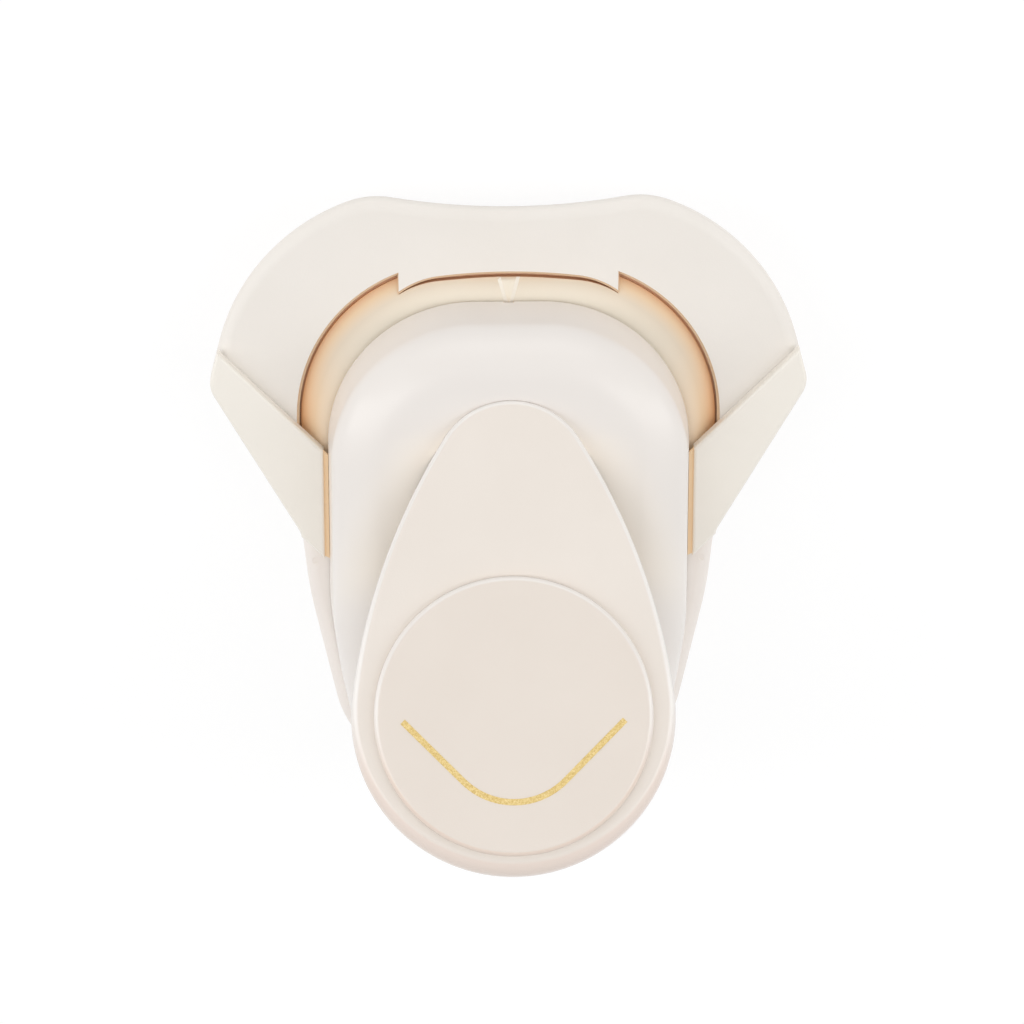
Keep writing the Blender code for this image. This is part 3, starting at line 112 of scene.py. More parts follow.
MOAT_RADIUS = 22.95 * MM
BED_WIDTH = 4.35 * MM
MOAT_AHEAD = 4.8 * MM
TAB_HALF = 15.5 * MM
TAB_MIDDLE_REACH = 26.25 * MM
TAB_BOW_RADIUS = 80.0 * MM
TAB_BOW_HALF = 9.8 * MM
TAB_SHOULDER_RADIUS = 12.0 * MM
TAB_THICKNESS = 1.5 * MM
BED_RIM_DROP = 1.2 * MM
BED_TOP_DROP = 0.1 * MM
BED_UNDER_GAP = 0.3 * MM
BED_CURVE = 2.2
ARROW_HALF = 1.65 * MM
ARROW_TIP_HALF = 0.45 * MM
ARROW_RISE = 0.28 * MM
ARROW_SINK = 0.3 * MM
ARROW_SLOPE = 0.55 * MM
ARROW_CREST_HALF = 0.05 * MM
ARROW_STEPS = 10
ARROW_COS_LOW, ARROW_COS_HIGH = 0.1, 0.9

GUIDE_GAP = 0.3 * MM
GUIDE_HEIGHT = 2.0 * MM
GUIDE_TIP_BACK = 16.4 * MM
SEAT_GAP = 0.05 * MM
LIP_GAP = 0.1 * MM

TUB_INSET = 3.5 * MM
FOOT_PROUD = 0.8 * MM
PAN_FLOOR = 2.4 * MM
FLANGE_OVERLAP = 0.4 * MM
CHUTE_MARGIN = 2.0 * MM
DIMPLE_RADIUS = 0.45 * MM
DIMPLE_DEPTH = 0.18 * MM
DIMPLE_HALF = 27.9 * MM
DIMPLE_BACK = 17.0 * MM
DIE_HALF = 18.5 * MM
DIE_BEHIND = 6.9 * MM
DIE_AHEAD = 16.0 * MM
TABLE_END_GAP = 0.6 * MM
ACTION_AHEAD = 2.6 * MM

LEVER_TOP = 7.0 * MM
LEVER_TIP = 4.5 * MM
TIP_RADIUS = 11.0 * MM
SIDE_RADIUS = 90.0 * MM
END_RADIUS = 22.55 * MM
CENTRES = 32.75 * MM
SKIRT_FRONT = 3.0 * MM
SKIRT_REAR = 8.0 * MM
SKIRT_WALL = 1.8 * MM
LEVER_ROOF = 2.4 * MM
LEVER_EDGE_FRONT = 0.68 * MM
LEVER_EDGE_REAR = 2.8 * MM
LEVER_EDGE_GROWTH = 4
PAD_RADIUS = 19.4 * MM
PAD_RECESS = 0.8 * MM
PAD_PROUD = 1.3 * MM
PAD_EDGE = 0.75 * MM
PAD_GAP = 0.01 * MM
MARK_WIDTH = 0.88 * MM
MARK_APEX = 16.0 * MM
MARK_SPAN = 30.8 * MM
MARK_THICKNESS = 0.35 * MM
MARK_PROUD = 0.05 * MM
TIP_AHEAD = 12.2 * MM
OPENING_GAP = 0.06 * MM
OPENING_REAR = 2.7 * MM
OPENING_SLOT_HALF = 9.2 * MM
OPENING_SLOT_BACK = 31.0 * MM
OPENING_SKIN = 0.3 * MM

PIVOT_RADIUS = 1.5 * MM
PIN_HOLE_HALF = 13.95 * MM
CHEEK_OUTER = 7.9 * MM
EAR_CLEARANCE = 3.4 * MM
EAR_THICKNESS = 3.6 * MM
EAR_HALF_LENGTH = 3.5 * MM
EAR_DEPTH = 3.6 * MM
SCREW_RADIUS = 1.25 * MM
SCREW_BOSS = 2.6 * MM
DOME_BOSS_RISE = 9.7 * MM
DOME_SCREW_RISE = 8.0 * MM
FRONT_BOSS_MARGIN = 4.0 * MM
FRONT_BOSS_BACK = 12.6 * MM
REAR_BOSS_SIDE_MARGIN = 3.6 * MM
REAR_BOSS_MARGIN = 10.2 * MM

# Finish of the visible shells
FINE_TOLERANCE = 0.006 * MM
MERGE_DISTANCE = FINE_TOLERANCE / 4
EXACT_DISTANCE = FINE_TOLERANCE / 10
ARC_SAG_SHARE = 0.25
FINE_STEPS = 9
ROUND_SIDES = 32
PAD_SIDES = 192
CROWN_STEPS = 7
BED_STEPS = 22
SMOOTH_ANGLE = math.radians(28.0)
NORMAL_WEIGHT = 80
BAND_STRETCH = 1.35
LAND_SLOPE = 0.34
LAND_BEND = 1.6
LAND_ROUND = 0.42
LAND_POWER = 5
LAND_STEPS = 14
# Where the edges' painted highlight fades into the painted shade of the rear rim, and which slopes carry it
LAND_FADE_FRONT = -19.0 * MM
LAND_FADE_REAR = -30.0 * MM
LAND_COS_STEEP = 0.2
LAND_COS_FLAT = 0.9995
LAND_COS_FULL = 0.94
CUTOUT_EDGE = 0.36 * MM
TAB_SIDE_EDGE = 0.4
GUIDE_EDGE = 0.5 * MM
LIP_DROP = 0.6 * MM
LIP_LOW = 0.9 * MM
LIP_REACH = 0.33 * MM
SLOT_WIDEN = 0.33 * MM
# Painted warm bounce light on the dome beside the lever: its reach, ramp stops and rear end
BOUNCE_REACH = 9.0 * MM
BOUNCE_STOPS = 9
BOUNCE_REAR = -27.0 * MM
TRENCH_DEPTH = 0.5 * MM
TRENCH_WIDTH = 0.2 * MM
TRENCH_SHIFT = 0.44 * MM
TRENCH_CLEARANCE = 0.05 * MM
TAB_TRENCH = 0.95 * MM
TRENCH_TAPER = 0.4
TRENCH_TAPER_POWER = 4
WALL_COS_FRONT = 0.8
WALL_COS_UP = 0.2
# Where the card bed's painted shade turns from its front colours to its deeper side colours
BED_FRONT_SHADE_AHEAD = 17.0 * MM
BED_SIDE_SHADE_AHEAD = 4.0 * MM
SLOT_GLOW_RISE = 1.7 * MM
SLOT_GLOW_AHEAD = 1.0 * MM

# Colours, grain and light
MOTTLE_GRAIN = 14.0 * MM
MOTTLE_LOW, MOTTLE_HIGH = 0.3, 0.7
DEEP_MOTTLE_SHARES = (1, 1.3, 1.7)
SHELL_GRAIN = 0.26 * MM
LEVER_COLOUR = (0.855, 0.785, 0.715)
PAD_COLOUR = (0.825, 0.745, 0.67)
INNER_GRAIN = 0.3 * MM
FLAKE_GRAIN = 0.13 * MM
PLASTIC_IOR = 1.46
PLASTIC_SPREAD = 0.06
COAT_ROUGHNESS_SHARE = 0.5
# Painted shade of the card bed: colours from its low rim up to the card's level, in front and at the sides
BED_SHADE_STOPS = (0.0, 0.35, 0.75, 1.0)
BED_FRONT_SHADES = ((0.84, 0.51, 0.28), (0.85, 0.63, 0.41), (0.80, 0.69, 0.55), (0.89, 0.81, 0.68))
BED_SIDE_SHADES = ((0.84, 0.47, 0.23), (0.90, 0.56, 0.31), (0.92, 0.67, 0.43), (0.96, 0.79, 0.60))
WHITE = (1, 1, 1, 1)
FLOOR_HALF = 3.0
PAPER_GRAIN = 20.0 * MM
PAPER_DEEP = (0.86, 0.86, 0.86)
PAPER_PALE = (0.88, 0.88, 0.88)
FLOOR_GLOW = 1.06
FLOOR_GLOW_SHARE = 0.82
WORLD_LIGHT = 0.55
LAMP_TARGET = (0, 0, 0.02)
# Each lamp's name, place, width, height and power
LAMPS = [
    ("front", (0.0, 1.05, 0.55), 1.3, 0.6, 1.7),
    ("box left", (-0.85, 0.15, 0.62), 0.4, 1.6, 4.6),
    ("box right", (0.85, 0.15, 0.62), 0.4, 1.6, 4.1),
]
CAMERA_LEAN = math.radians(20.0)
CAMERA_SWING = math.radians(1.3)
CAMERA_TARGET = (0.3 * MM, 1.075 * MM, 20.0 * MM)
CAMERA_DISTANCE = 600.0 * MM
CAMERA_LENS = 148.8

# Places
FRONT_Y = (LENGTH + LEVER_OVERHANG) / 2
TAIL_Y = FRONT_Y - LENGTH
HEAD_Y = FRONT_Y - HEAD_SETBACK
TAIL_BACK = LENGTH - HEAD_SETBACK
DOME_HALF = DOME_WIDTH / 2
DOME_HIP_BACK = TAIL_BACK - DOME_HIP_AHEAD
WALL_LINE = DOME_HALF + GUIDE_GAP
MOAT_HALF = DOME_HALF + BED_WIDTH
MOAT_SPREAD = MOAT_HALF - MOAT_RADIUS
TABLE_HALF = MOAT_HALF + TABLE_BAND
TABLE_SPREAD = TABLE_HALF - TABLE_RADIUS
WING_HALF = TABLE_HALF + WING_PROUD
WAIST_HALF = DOME_HALF + WAIST_LEDGE
HIP_HALF = DOME_HALF + HIP_LEDGE
TAIL_HALF = DOME_TAIL_HALF + TAIL_SIDE_LEDGE
DIE_REAR_Y = HEAD_Y - WALL_LINE - DIE_BEHIND
TABLE_END_Y = HEAD_Y - WALL_LINE + DIE_AHEAD + TABLE_END_GAP
ACTION_BACK = WALL_LINE - ACTION_AHEAD
DECK_TOP = CARD_HEIGHT - TABLE_THICKNESS - GAP
TUB_LOW = FOOT_PROUD + PAN_FLOOR + GAP
DOME_LOW = CARD_HEIGHT + GAP
LIP_Z = CARD_HEIGHT + CARD_SLOT
SHOULDER_Z = DOME_LOW + DOME_WALL_HEIGHT
DOME_TOP = SHOULDER_Z + SHOULDER_HEIGHT
CEILING = DOME_TOP - DOME_WALL
TIP_Y = HEAD_Y + TIP_AHEAD
PIVOT_Y = TIP_Y - LEVER_TIP * math.cos(REST_TILT) - LEVER_TOP * math.sin(REST_TILT)
PIVOT_Z = DOME_TOP + CROWN_HEIGHT + GAP / 2 + LEVER_TIP * math.sin(REST_TILT) - LEVER_TOP * math.cos(REST_TILT)
PAD_Y = LEVER_TIP - TIP_RADIUS - CENTRES
LEVER_FRAME = Matrix.Translation((0, PIVOT_Y, PIVOT_Z)) @ Matrix.Rotation(-REST_TILT, 4, "X")
LEVER_UP = Vector((0, math.sin(REST_TILT), math.cos(REST_TILT)))

SCRAPS = []


def on_circle(centre, radius, angle):
    """A point on a circle."""
    return (centre[0] + radius * math.cos(angle), centre[1] + radius * math.sin(angle))


def arc(centre, radius, start, end):
    """Points along an arc, ends included."""
    step = 2 * math.acos(1 - min(FINE_TOLERANCE / radius, ARC_SAG_SHARE))
    count = max(2, math.ceil(abs(end - start) / step))
    return [on_circle(centre, radius, start + (end - start) * index / count) for index in range(count + 1)]


def fillet(before, corner, after, radius):
    """The arc that rounds a corner between two neighbouring points."""
    corner = Vector(corner)
    towards_before = (Vector(before) - corner).normalized()
    towards_after = (Vector(after) - corner).normalized()
    half = towards_before.angle(towards_after) / 2
    middle = (towards_before + towards_after).normalized()
    centre = corner + middle * radius / math.sin(half)
    first = corner + towards_before * radius / math.tan(half) - centre
    last = corner + towards_after * radius / math.tan(half) - centre
    start = math.atan2(first.y, first.x)
    turn = math.remainder(math.atan2(last.y, last.x) - start, 2 * math.pi)
    return arc(centre, radius, start, start + turn)


def rounded_path(points, radii):
    """A path whose inner corners are rounded; its two ends stay sharp."""
    path = [tuple(points[0])]
    for index, radius in enumerate(radii, start=1):
        path += fillet(points[index - 1], points[index], points[index + 1], radius)
    return path + [tuple(points[-1])]


def both_sides(right):
    """A closed outline from its right half, which runs from the front middle to the rear middle."""
    left = [(-x, y) for x, y in right]
    return left + right[-2:0:-1]


def inset(outline, distance):
    """The outline moved inwards; a negative distance moves it outwards."""
    moved = []
    count = len(outline)
    for index in range(count):
        here = Vector(outline[index])
        along_in = (here - Vector(outline[index - 1])).normalized()
        along_out = (Vector(outline[(index + 1) % count]) - here).normalized()
        normal = Vector((-along_in.y - along_out.y, along_in.x + along_out.x)).normalized()
        share = normal.dot(Vector((-along_in.y, along_in.x)))
        moved.append(tuple(here + normal * distance / share))
    return moved


def shrunk(outline, distance):
    """The outline moved well inwards, without the loops that its tight corners would fold into."""
    sides = [(Vector(outline[index - 1]), Vector(end)) for index, end in enumerate(outline)]
    kept = []
    for point in inset(outline, distance):
        place = Vector(point)
        apart = []
        for start, end in sides:
            along = end - start
            share = min(max((place - start).dot(along) / along.length_squared, 0), 1)
            apart.append((place - start - along * share).length)
        if min(apart) > distance - FINE_TOLERANCE * 3:
            kept.append(point)
    return kept


def at_height(outline, z):
    """The outline's points at one height."""
    return [(x, y, z) for x, y in outline]


def circle(centre, radius, sides):
    """A round outline."""
    return [on_circle(centre, radius, 2 * math.pi / sides * index) for index in range(sides)]


def rectangle(half_width, rear, front):
    """A rectangle across the middle line."""
    return [(-half_width, rear), (half_width, rear), (half_width, front), (-half_width, front)]


def add_rings(bm, rings):
    """Skins a row of rings that have equal counts, and caps its two ends."""
    rows = [[bm.verts.new(point) for point in ring] for ring in rings]
    for low, high in zip(rows, rows[1:]):
        count = len(low)
        for index in range(count):
            after = (index + 1) % count
            bm.faces.new((low[index], low[after], high[after], high[index]))
    bm.faces.new(reversed(rows[0]))
    bm.faces.new(rows[-1])


def add_object(bm, name):
    """Turns a bmesh into an object of the scene."""
    bmesh.ops.recalc_face_normals(bm, faces=bm.faces)
    mesh = bpy.data.meshes.new(name)
    bm.to_mesh(mesh)
    bm.free()
    item = bpy.data.objects.new(name, mesh)
    bpy.context.scene.collection.objects.link(item)
    return item


def loft(name, rings):
    """One solid skinned over rings."""
    bm = bmesh.new()
    add_rings(bm, rings)
    return add_object(bm, name)


def prism(name, outline, low, high):
    """An outline extruded between two heights."""
    return loft(name, [at_height(outline, low), at_height(outline, high)])


def hole(name, centres, radius, low, high):
    """Round solids between two heights."""
    bm = bmesh.new()
    for centre in centres:
        outline = circle(centre, radius, ROUND_SIDES)
        add_rings(bm, [at_height(outline, low), at_height(outline, high)])
    return add_object(bm, name)


def combine(target, tool, operation):
    """Adds a Boolean modifier; the tool is removed once the modifiers are applied."""
    modifier = target.modifiers.new(tool.name, "BOOLEAN")
    modifier.operation = operation
    modifier.object = tool
    tool.hide_render = True
    SCRAPS.append(tool)


def cut(target, tool):
    """Cuts the tool from the target."""
    combine(target, tool, "DIFFERENCE")


def join(target, tool):
    """Joins the tool to the target."""
    combine(target, tool, "UNION")


def apply_modifiers(item):
    """Turns an object's modifiers into its mesh."""
    graph = bpy.context.evaluated_depsgraph_get()
    graph.update()
    mesh = bpy.data.meshes.new_from_object(item.evaluated_get(graph), depsgraph=graph)
    mesh.name = item.name
    item.modifiers.clear()
    item.data = mesh


def finish_piece(item, material, body, nodes, placed=None):
    """Applies the modifiers, shades the piece smooth, and lets it ride on its body in place of its nodes."""
    apply_modifiers(item)
    if placed is not None:
        item.data.transform(placed)
    item.data.materials.clear()
    item.data.materials.append(material)
    item.data.shade_smooth()
    item.data.set_sharp_from_angle(angle=SMOOTH_ANGLE)
    weighted = item.modifiers.new("weighted normals", "WEIGHTED_NORMAL")
    weighted.keep_sharp = True
    weighted.weight = NORMAL_WEIGHT
    apply_modifiers(item)
    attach(item, body)
    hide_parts(*nodes)
    while SCRAPS:
        bpy.data.objects.remove(SCRAPS.pop(), do_unlink=True)


def mirrored_places(*places):
    """Each place and its mirror image across the middle line."""
    return [(side * x, y) for x, y in places for side in (1, -1)]


def edge_profile(radius, steps):
    """Quarter round, as (inset, drop below the face) pairs from the side up to the face."""
    angles = [math.pi / 2 * index / steps for index in range(steps + 1)]
    return [(radius * (1 - math.cos(angle)), radius * (1 - math.sin(angle))) for angle in angles]


def land_profile(width, steps):
    """A narrow sloping land inside a tight rounding, as (inset, drop) pairs from the side up to the face."""
    rests = [1 - index / steps for index in range(steps + 1)]
    drops = [LAND_SLOPE * rest**LAND_BEND + LAND_ROUND * rest**LAND_POWER for rest in rests]
    return [(width * (1 - rest), width * drop) for rest, drop in zip(rests, drops)]


def base_outline():
    """The whole base seen from above: bumped front, round table sides, wings and tapering tail."""
    bump_y = FRONT_Y - BUMP_RADIUS
    table_y = HEAD_Y + TABLE_AHEAD
    lead = math.sqrt((TABLE_RADIUS - BUMP_RADIUS) ** 2 - (bump_y - table_y) ** 2)
    bump_x = TABLE_SPREAD + lead
    dip_radius = (bump_x**2 - 2 * BUMP_RADIUS * FRONT_DIP + FRONT_DIP**2) / (2 * FRONT_DIP)
    dip_y = FRONT_Y - FRONT_DIP + dip_radius
    lean = math.atan2(bump_x, dip_y - bump_y)
    side_start = math.atan2(bump_y - table_y, lead)
    quarter = math.pi / 2
    right = arc((0, dip_y), dip_radius, -quarter, lean - quarter)
    right += arc((bump_x, bump_y), BUMP_RADIUS, quarter + lean, side_start)[1:]
    side_end = math.asin((WING_START - TABLE_AHEAD) / TABLE_RADIUS)
    right += arc((TABLE_SPREAD, table_y), TABLE_RADIUS, side_start, side_end)[1:]
    corners = [
        right[-1],
        (WING_HALF, HEAD_Y + WING_AHEAD),
        (WAIST_HALF, HEAD_Y - WAIST_BACK),
        (HIP_HALF, HEAD_Y - HIP_BACK),
        (TAIL_HALF, TAIL_Y),
        (0, TAIL_Y),
    ]
    right += rounded_path(corners, [WING_RADIUS, WAIST_RADIUS, HIP_RADIUS, TAIL_RADIUS])[1:]
    return both_sides(right)


def crossing_x(start, end, y):
    """Where the line through two points crosses a y."""
    return start[0] + (end[0] - start[0]) * (y - start[1]) / (end[1] - start[1])


def dome_outline():
    """The dome's lower edge: round nose, straight sides and a tapering tail."""
    tail_y = TAIL_Y + DOME_TAIL_LEDGE
    nose_y = HEAD_Y + DOME_NOSE
    corners = [
        (0, nose_y),
        (DOME_HALF, nose_y),
        (DOME_HALF, HEAD_Y - ACTION_BACK),
        (DOME_HIP_HALF, HEAD_Y - DOME_HIP_BACK),
        (DOME_TAIL_HALF, tail_y),
        (0, tail_y),
    ]
    radii = [NOSE_RADIUS, DOME_SIDE_RADIUS, DOME_SIDE_RADIUS, DOME_TAIL_RADIUS]
    right = rounded_path(corners, radii)
    slot_end = HEAD_Y - GUIDE_TIP_BACK
    below = next(index for index, (x, y) in enumerate(right) if y < slot_end)
    right.insert(below, (crossing_x(right[below - 1], right[below], slot_end), slot_end))
    return both_sides(right)


def moat_sweep(gap, start):
    """Right half of the table's cut-out from an angle on its round front to its straight side and rear."""
    radius = MOAT_RADIUS - gap
    rear_y = TABLE_END_Y - OVERRUN * 3
    centre = (MOAT_SPREAD, HEAD_Y + MOAT_AHEAD)
    return arc(centre, radius, start, 0) + [(centre[0] + radius, rear_y), (0, rear_y)]


def round_outline(gap=0):
    """The cut-out as it would be with no tab: the card bed's outline once a gap is left round it."""
    front_y = HEAD_Y + MOAT_AHEAD + MOAT_RADIUS - gap
    return both_sides([(0, front_y)] + moat_sweep(gap, math.pi / 2))


def moat_outline():
    """The table's cut-out: a round sweep with a tab standing in its front."""
    lean = math.asin(TAB_BOW_HALF / TAB_BOW_RADIUS)
    quarter = math.pi / 2
    bow_y = HEAD_Y + TAB_MIDDLE_REACH - TAB_BOW_RADIUS
    to_shoulder = TAB_BOW_RADIUS - TAB_SHOULDER_RADIUS
    shoulder = (to_shoulder * math.sin(lean), bow_y + to_shoulder * math.cos(lean))
    end = math.acos((TAB_HALF - shoulder[0]) / TAB_SHOULDER_RADIUS)
    right = arc((0, bow_y), TAB_BOW_RADIUS, quarter, quarter - lean)
    right += arc(shoulder, TAB_SHOULDER_RADIUS, quarter - lean, end)[1:]
    right += moat_sweep(0, math.acos((TAB_HALF - MOAT_SPREAD) / MOAT_RADIUS))
    return both_sides(right)


def slab_rings(outline, low, high, radius):
    """Rings of a plate whose lower and upper rims are rounded, the upper one over a wider band."""
    pairs = edge_profile(radius, FINE_STEPS)
    under = [at_height(inset(outline, d), low + drop) for d, drop in reversed(pairs)]
    upper = [at_height(inset(outline, d * BAND_STRETCH), high - drop) for d, drop in pairs]
    return under + upper


# Materials


def feed(tree, node, inputs):
    """Gives a node's inputs their values, or links them to other nodes' outputs."""
    for name, value in inputs.items():
        if isinstance(value, bpy.types.NodeSocket):
            tree.links.new(value, node.inputs[name])
        else:
            node.inputs[name].default_value = value
    return node


def add(tree, kind, inputs, **settings):
    """Adds a node with its settings and inputs."""
    node = tree.nodes.new("ShaderNode" + kind)
    for name, value in settings.items():
        setattr(node, name, value)
    return feed(tree, node, inputs)


def new_material(name):
    """A node material and its tree."""
    material = bpy.data.materials.new(name)
    material.use_nodes = True
    return material, material.node_tree


def coordinates(tree, kind="Object"):
    """Where the shaded point lies, or which way it faces."""
    return add(tree, "TexCoord", {}).outputs[kind]


def parts_of(tree, vector):
    """The X, Y and Z outputs of a vector."""
    return add(tree, "SeparateXYZ", {"Vector": vector}).outputs


def noise(tree, vector, grain, detail=2.0, roughness=0.5):
    """A noise texture whose features are about one grain across."""
    inputs = {"Scale": 1 / grain, "Detail": detail, "Roughness": roughness, "Vector": vector}
    return add(tree, "TexNoise", inputs).outputs["Fac"]


def ramp(tree, factor, stops):
    """A colour ramp through (position, colour) stops."""
    node = add(tree, "ValToRGB", {"Fac": factor})
    elements = node.color_ramp.elements
    elements[0].position, elements[0].color = stops[0][0], (*stops[0][1], 1)
    elements[1].position, elements[1].color = stops[-1][0], (*stops[-1][1], 1)
    for position, colour in stops[1:-1]:
        elements.new(position).color = (*colour, 1)
    return node.outputs["Color"]


def mottled(tree, factor, deep, pale):
    """A colour that wanders between two others."""
    return ramp(tree, factor, [(MOTTLE_LOW, deep), (MOTTLE_HIGH, pale)])


def between(tree, value, start, end, low=0.0, high=1.0, curve="LINEAR"):
    """Maps a value that runs from start to end to a range."""
    inputs = {"Value": value, "From Min": start, "From Max": end, "To Min": low, "To Max": high}
    return add(tree, "MapRange", inputs, interpolation_type=curve).outputs["Result"]


def fade(tree, value, start, end):
    """0 at start and 1 at end, with a soft curve between them."""
    return between(tree, value, start, end, curve="SMOOTHSTEP")


def compute(tree, operation, *values):
    """The result of a math node on values or outputs."""
    return add(tree, "Math", dict(enumerate(values)), operation=operation).outputs["Value"]


def mixed(tree, factor, first, second):
    """A colour between two others."""
    return add(tree, "Mix", {"Factor": factor, "A": first, "B": second}, data_type="RGBA").outputs["Result"]


def relief(tree, height, depth, strength=1.0):
    """The surface direction that a height gives."""
    return add(tree, "Bump", {"Strength": strength, "Distance": depth, "Height": height}).outputs["Normal"]


def shade(colour, share):
    """A colour made darker or lighter by a share."""
    return tuple(channel * share for channel in colour)


def dress(tree, inputs):
    """Gives the material's shader its inputs."""
    feed(tree, tree.nodes["Principled BSDF"], inputs)


def base_colour(tree):
    """The output that colours the material so far."""
    return tree.nodes["Principled BSDF"].inputs["Base Color"].links[0].from_socket


def plastic(name, colour, roughness, grain, depth, mottle=0.012, coat=0.0):
    """Moulded plastic: fine spark-eroded grain, faint colour mottle and slightly uneven gloss."""
    material, tree = new_material(name)
    place = coordinates(tree)
    fine = noise(tree, place, grain, 3.0, 0.6)
    deep = tuple(channel * (1 - share * mottle) for channel, share in zip(colour, DEEP_MOTTLE_SHARES))
    inputs = {
        "Base Color": mottled(tree, noise(tree, place, MOTTLE_GRAIN, 3.0), deep, shade(colour, 1 + mottle)),
        "Roughness": between(tree, fine, 0, 1, roughness - PLASTIC_SPREAD, roughness + PLASTIC_SPREAD),
        "Normal": relief(tree, fine, depth),
        "IOR": PLASTIC_IOR,
        "Coat Weight": coat,
        "Coat Roughness": roughness * COAT_ROUGHNESS_SHARE,
    }
    dress(tree, inputs)
    return material


def edge_highlight_material(name, face_colour, highlight_colour, rim_shade_colour):
    """Plastic of the sloping edges round the lever and its pad: a paler painted highlight in front, a darker
    painted shade at the rear.
    """
    material = plastic(name, highlight_colour, 0.4, SHELL_GRAIN, 0.012 * MM, coat=0.9)
    tree = material.node_tree
    lean = add(tree, "VectorMath", {0: coordinates(tree, "Normal"), 1: LEVER_UP}, operation="DOT_PRODUCT")
    slope = fade(tree, lean.outputs["Value"], LAND_COS_FLAT, LAND_COS_FULL)
    front = fade(tree, parts_of(tree, coordinates(tree))["Y"], LAND_FADE_REAR, LAND_FADE_FRONT)
    edge = mixed(tree, front, (*rim_shade_colour, 1), base_colour(tree))
    dress(tree, {"Base Color": mixed(tree, slope, (*face_colour, 1), edge)})
    return material


def dome_material():
    """The dome's smooth plastic, with painted warm bounce light beside the lever: paler and warmer there."""
    material = plastic("dome plastic", (0.865, 0.82, 0.78), 0.46, 0.6 * MM, 0.003 * MM, 0.008, 0.5)
    tree = material.node_tree
    turned = {"Location": LEVER_FRAME.to_translation(), "Rotation": (-REST_TILT, 0, 0)}
    mapping = add(tree, "Mapping", {**turned, "Vector": coordinates(tree)}, vector_type="TEXTURE")
    place = parts_of(tree, mapping.outputs["Vector"])
    right = [point for point in lever_outline() if point[0] >= 0 and point[1] > PAD_Y - END_RADIUS / 2]
    right.sort(key=lambda point: -point[1])
    stops = [(0.0, (0, 0, 0))]
    for index in range(1, BOUNCE_STOPS):
        share = index / (BOUNCE_STOPS - 1)
        y = LEVER_TIP + (PAD_Y - LEVER_TIP) * share
        below = next(number for number, point in enumerate(right) if point[1] < y)
        stops.append((share, (crossing_x(right[below - 1], right[below], y) / END_RADIUS,) * 3))
    half = ramp(tree, between(tree, place["Y"], LEVER_TIP, PAD_Y), stops)
    apart = compute(tree, "MULTIPLY_ADD", half, -END_RADIUS, compute(tree, "ABSOLUTE", place["X"]))
    painted_bounce = fade(tree, apart, BOUNCE_REACH, 0)
    for start, way in ((LEVER_TIP, -1), (BOUNCE_REAR, 1)):
        painted_bounce = compute(tree, "MULTIPLY", painted_bounce, fade(tree, place["Y"], start, start + way * BOUNCE_REACH))
    # Painted warm bounce light: the dome's colour is made paler and warmer near the lever's edges
    dress(tree, {"Base Color": mixed(tree, painted_bounce, base_colour(tree), (0.97, 0.9, 0.81, 1))})
    return material


def metal(name, colour, roughness, grain, depth, stretch=(1.0, 1.0, 1.0)):
    """Ground or drawn metal: streaks along one way in its gloss and relief."""
    material, tree = new_material(name)
    mapping = add(tree, "Mapping", {"Scale": stretch, "Vector": coordinates(tree)})
    streaks = noise(tree, mapping.outputs["Vector"], grain, 4.0, 0.65)
    inputs = {
        "Base Color": mottled(tree, streaks, shade(colour, 0.86), shade(colour, 1.08)),
        "Roughness": between(tree, streaks, 0, 1, roughness - 0.08, roughness + 0.1),
        "Normal": relief(tree, streaks, depth, 0.6),
        "Metallic": 1.0,
    }
    dress(tree, inputs)
    return material


def foil_material():
    """Hot stamped gold foil: metallic, with a crinkled sparkle."""
    material, tree = new_material("gold foil")
    flakes = add(tree, "TexVoronoi", {"Scale": 1 / FLAKE_GRAIN, "Vector": coordinates(tree)})
    glint = add(tree, "SeparateColor", {"Color": flakes.outputs["Color"]}).outputs["Red"]
    stops = [(0.0, (0.60, 0.42, 0.14)), (0.5, (0.70, 0.52, 0.21)), (1.0, (0.80, 0.65, 0.33))]
    inputs = {
        "Base Color": ramp(tree, glint, stops),
        "Roughness": between(tree, glint, 0, 1, 0.28, 0.5),
        "Normal": relief(tree, glint, 0.02 * MM, 0.5),
        "Metallic": 0.7,
    }
    dress(tree, inputs)
    return material


def rubber_material():
    """Soft grey rubber with a dusty bloom."""
    material, tree = new_material("foot rubber")
    place = coordinates(tree)
    bloom = noise(tree, place, 1.5 * MM, 4.0)
    inputs = {
        "Base Color": mottled(tree, bloom, (0.13, 0.125, 0.12), (0.2, 0.195, 0.19)),
        "Roughness": between(tree, bloom, 0, 1, 0.7, 0.92),
        "Normal": relief(tree, noise(tree, place, 0.3 * MM), 0.04 * MM, 0.5),
    }
    dress(tree, inputs)
    return material


def bed_painted_shade_material():
    """The card bed's plastic with painted shade: its colour darkens to orange towards its low rim, more at the
    sides than in front.
    """
    material, tree = new_material("bed painted shade plastic")
    place = coordinates(tree)
    parts = parts_of(tree, place)
    height = between(tree, parts["Z"], CARD_HEIGHT - BED_RIM_DROP, CARD_HEIGHT - BED_TOP_DROP)
    pale, deep = (ramp(tree, height, list(zip(BED_SHADE_STOPS, colours))) for colours in (BED_FRONT_SHADES, BED_SIDE_SHADES))
    # The painted shade deepens from the bed's front towards its sides
    depth = fade(tree, parts["Y"], HEAD_Y + BED_FRONT_SHADE_AHEAD, HEAD_Y + BED_SIDE_SHADE_AHEAD)
    fine = noise(tree, place, 0.35 * MM, 3.0)
    inputs = {
        "Base Color": mixed(tree, depth, pale, deep),
        "Roughness": between(tree, fine, 0, 1, 0.42, 0.55),
        "Normal": relief(tree, fine, 0.006 * MM),
    }
    dress(tree, inputs)
    return material


# Pieces


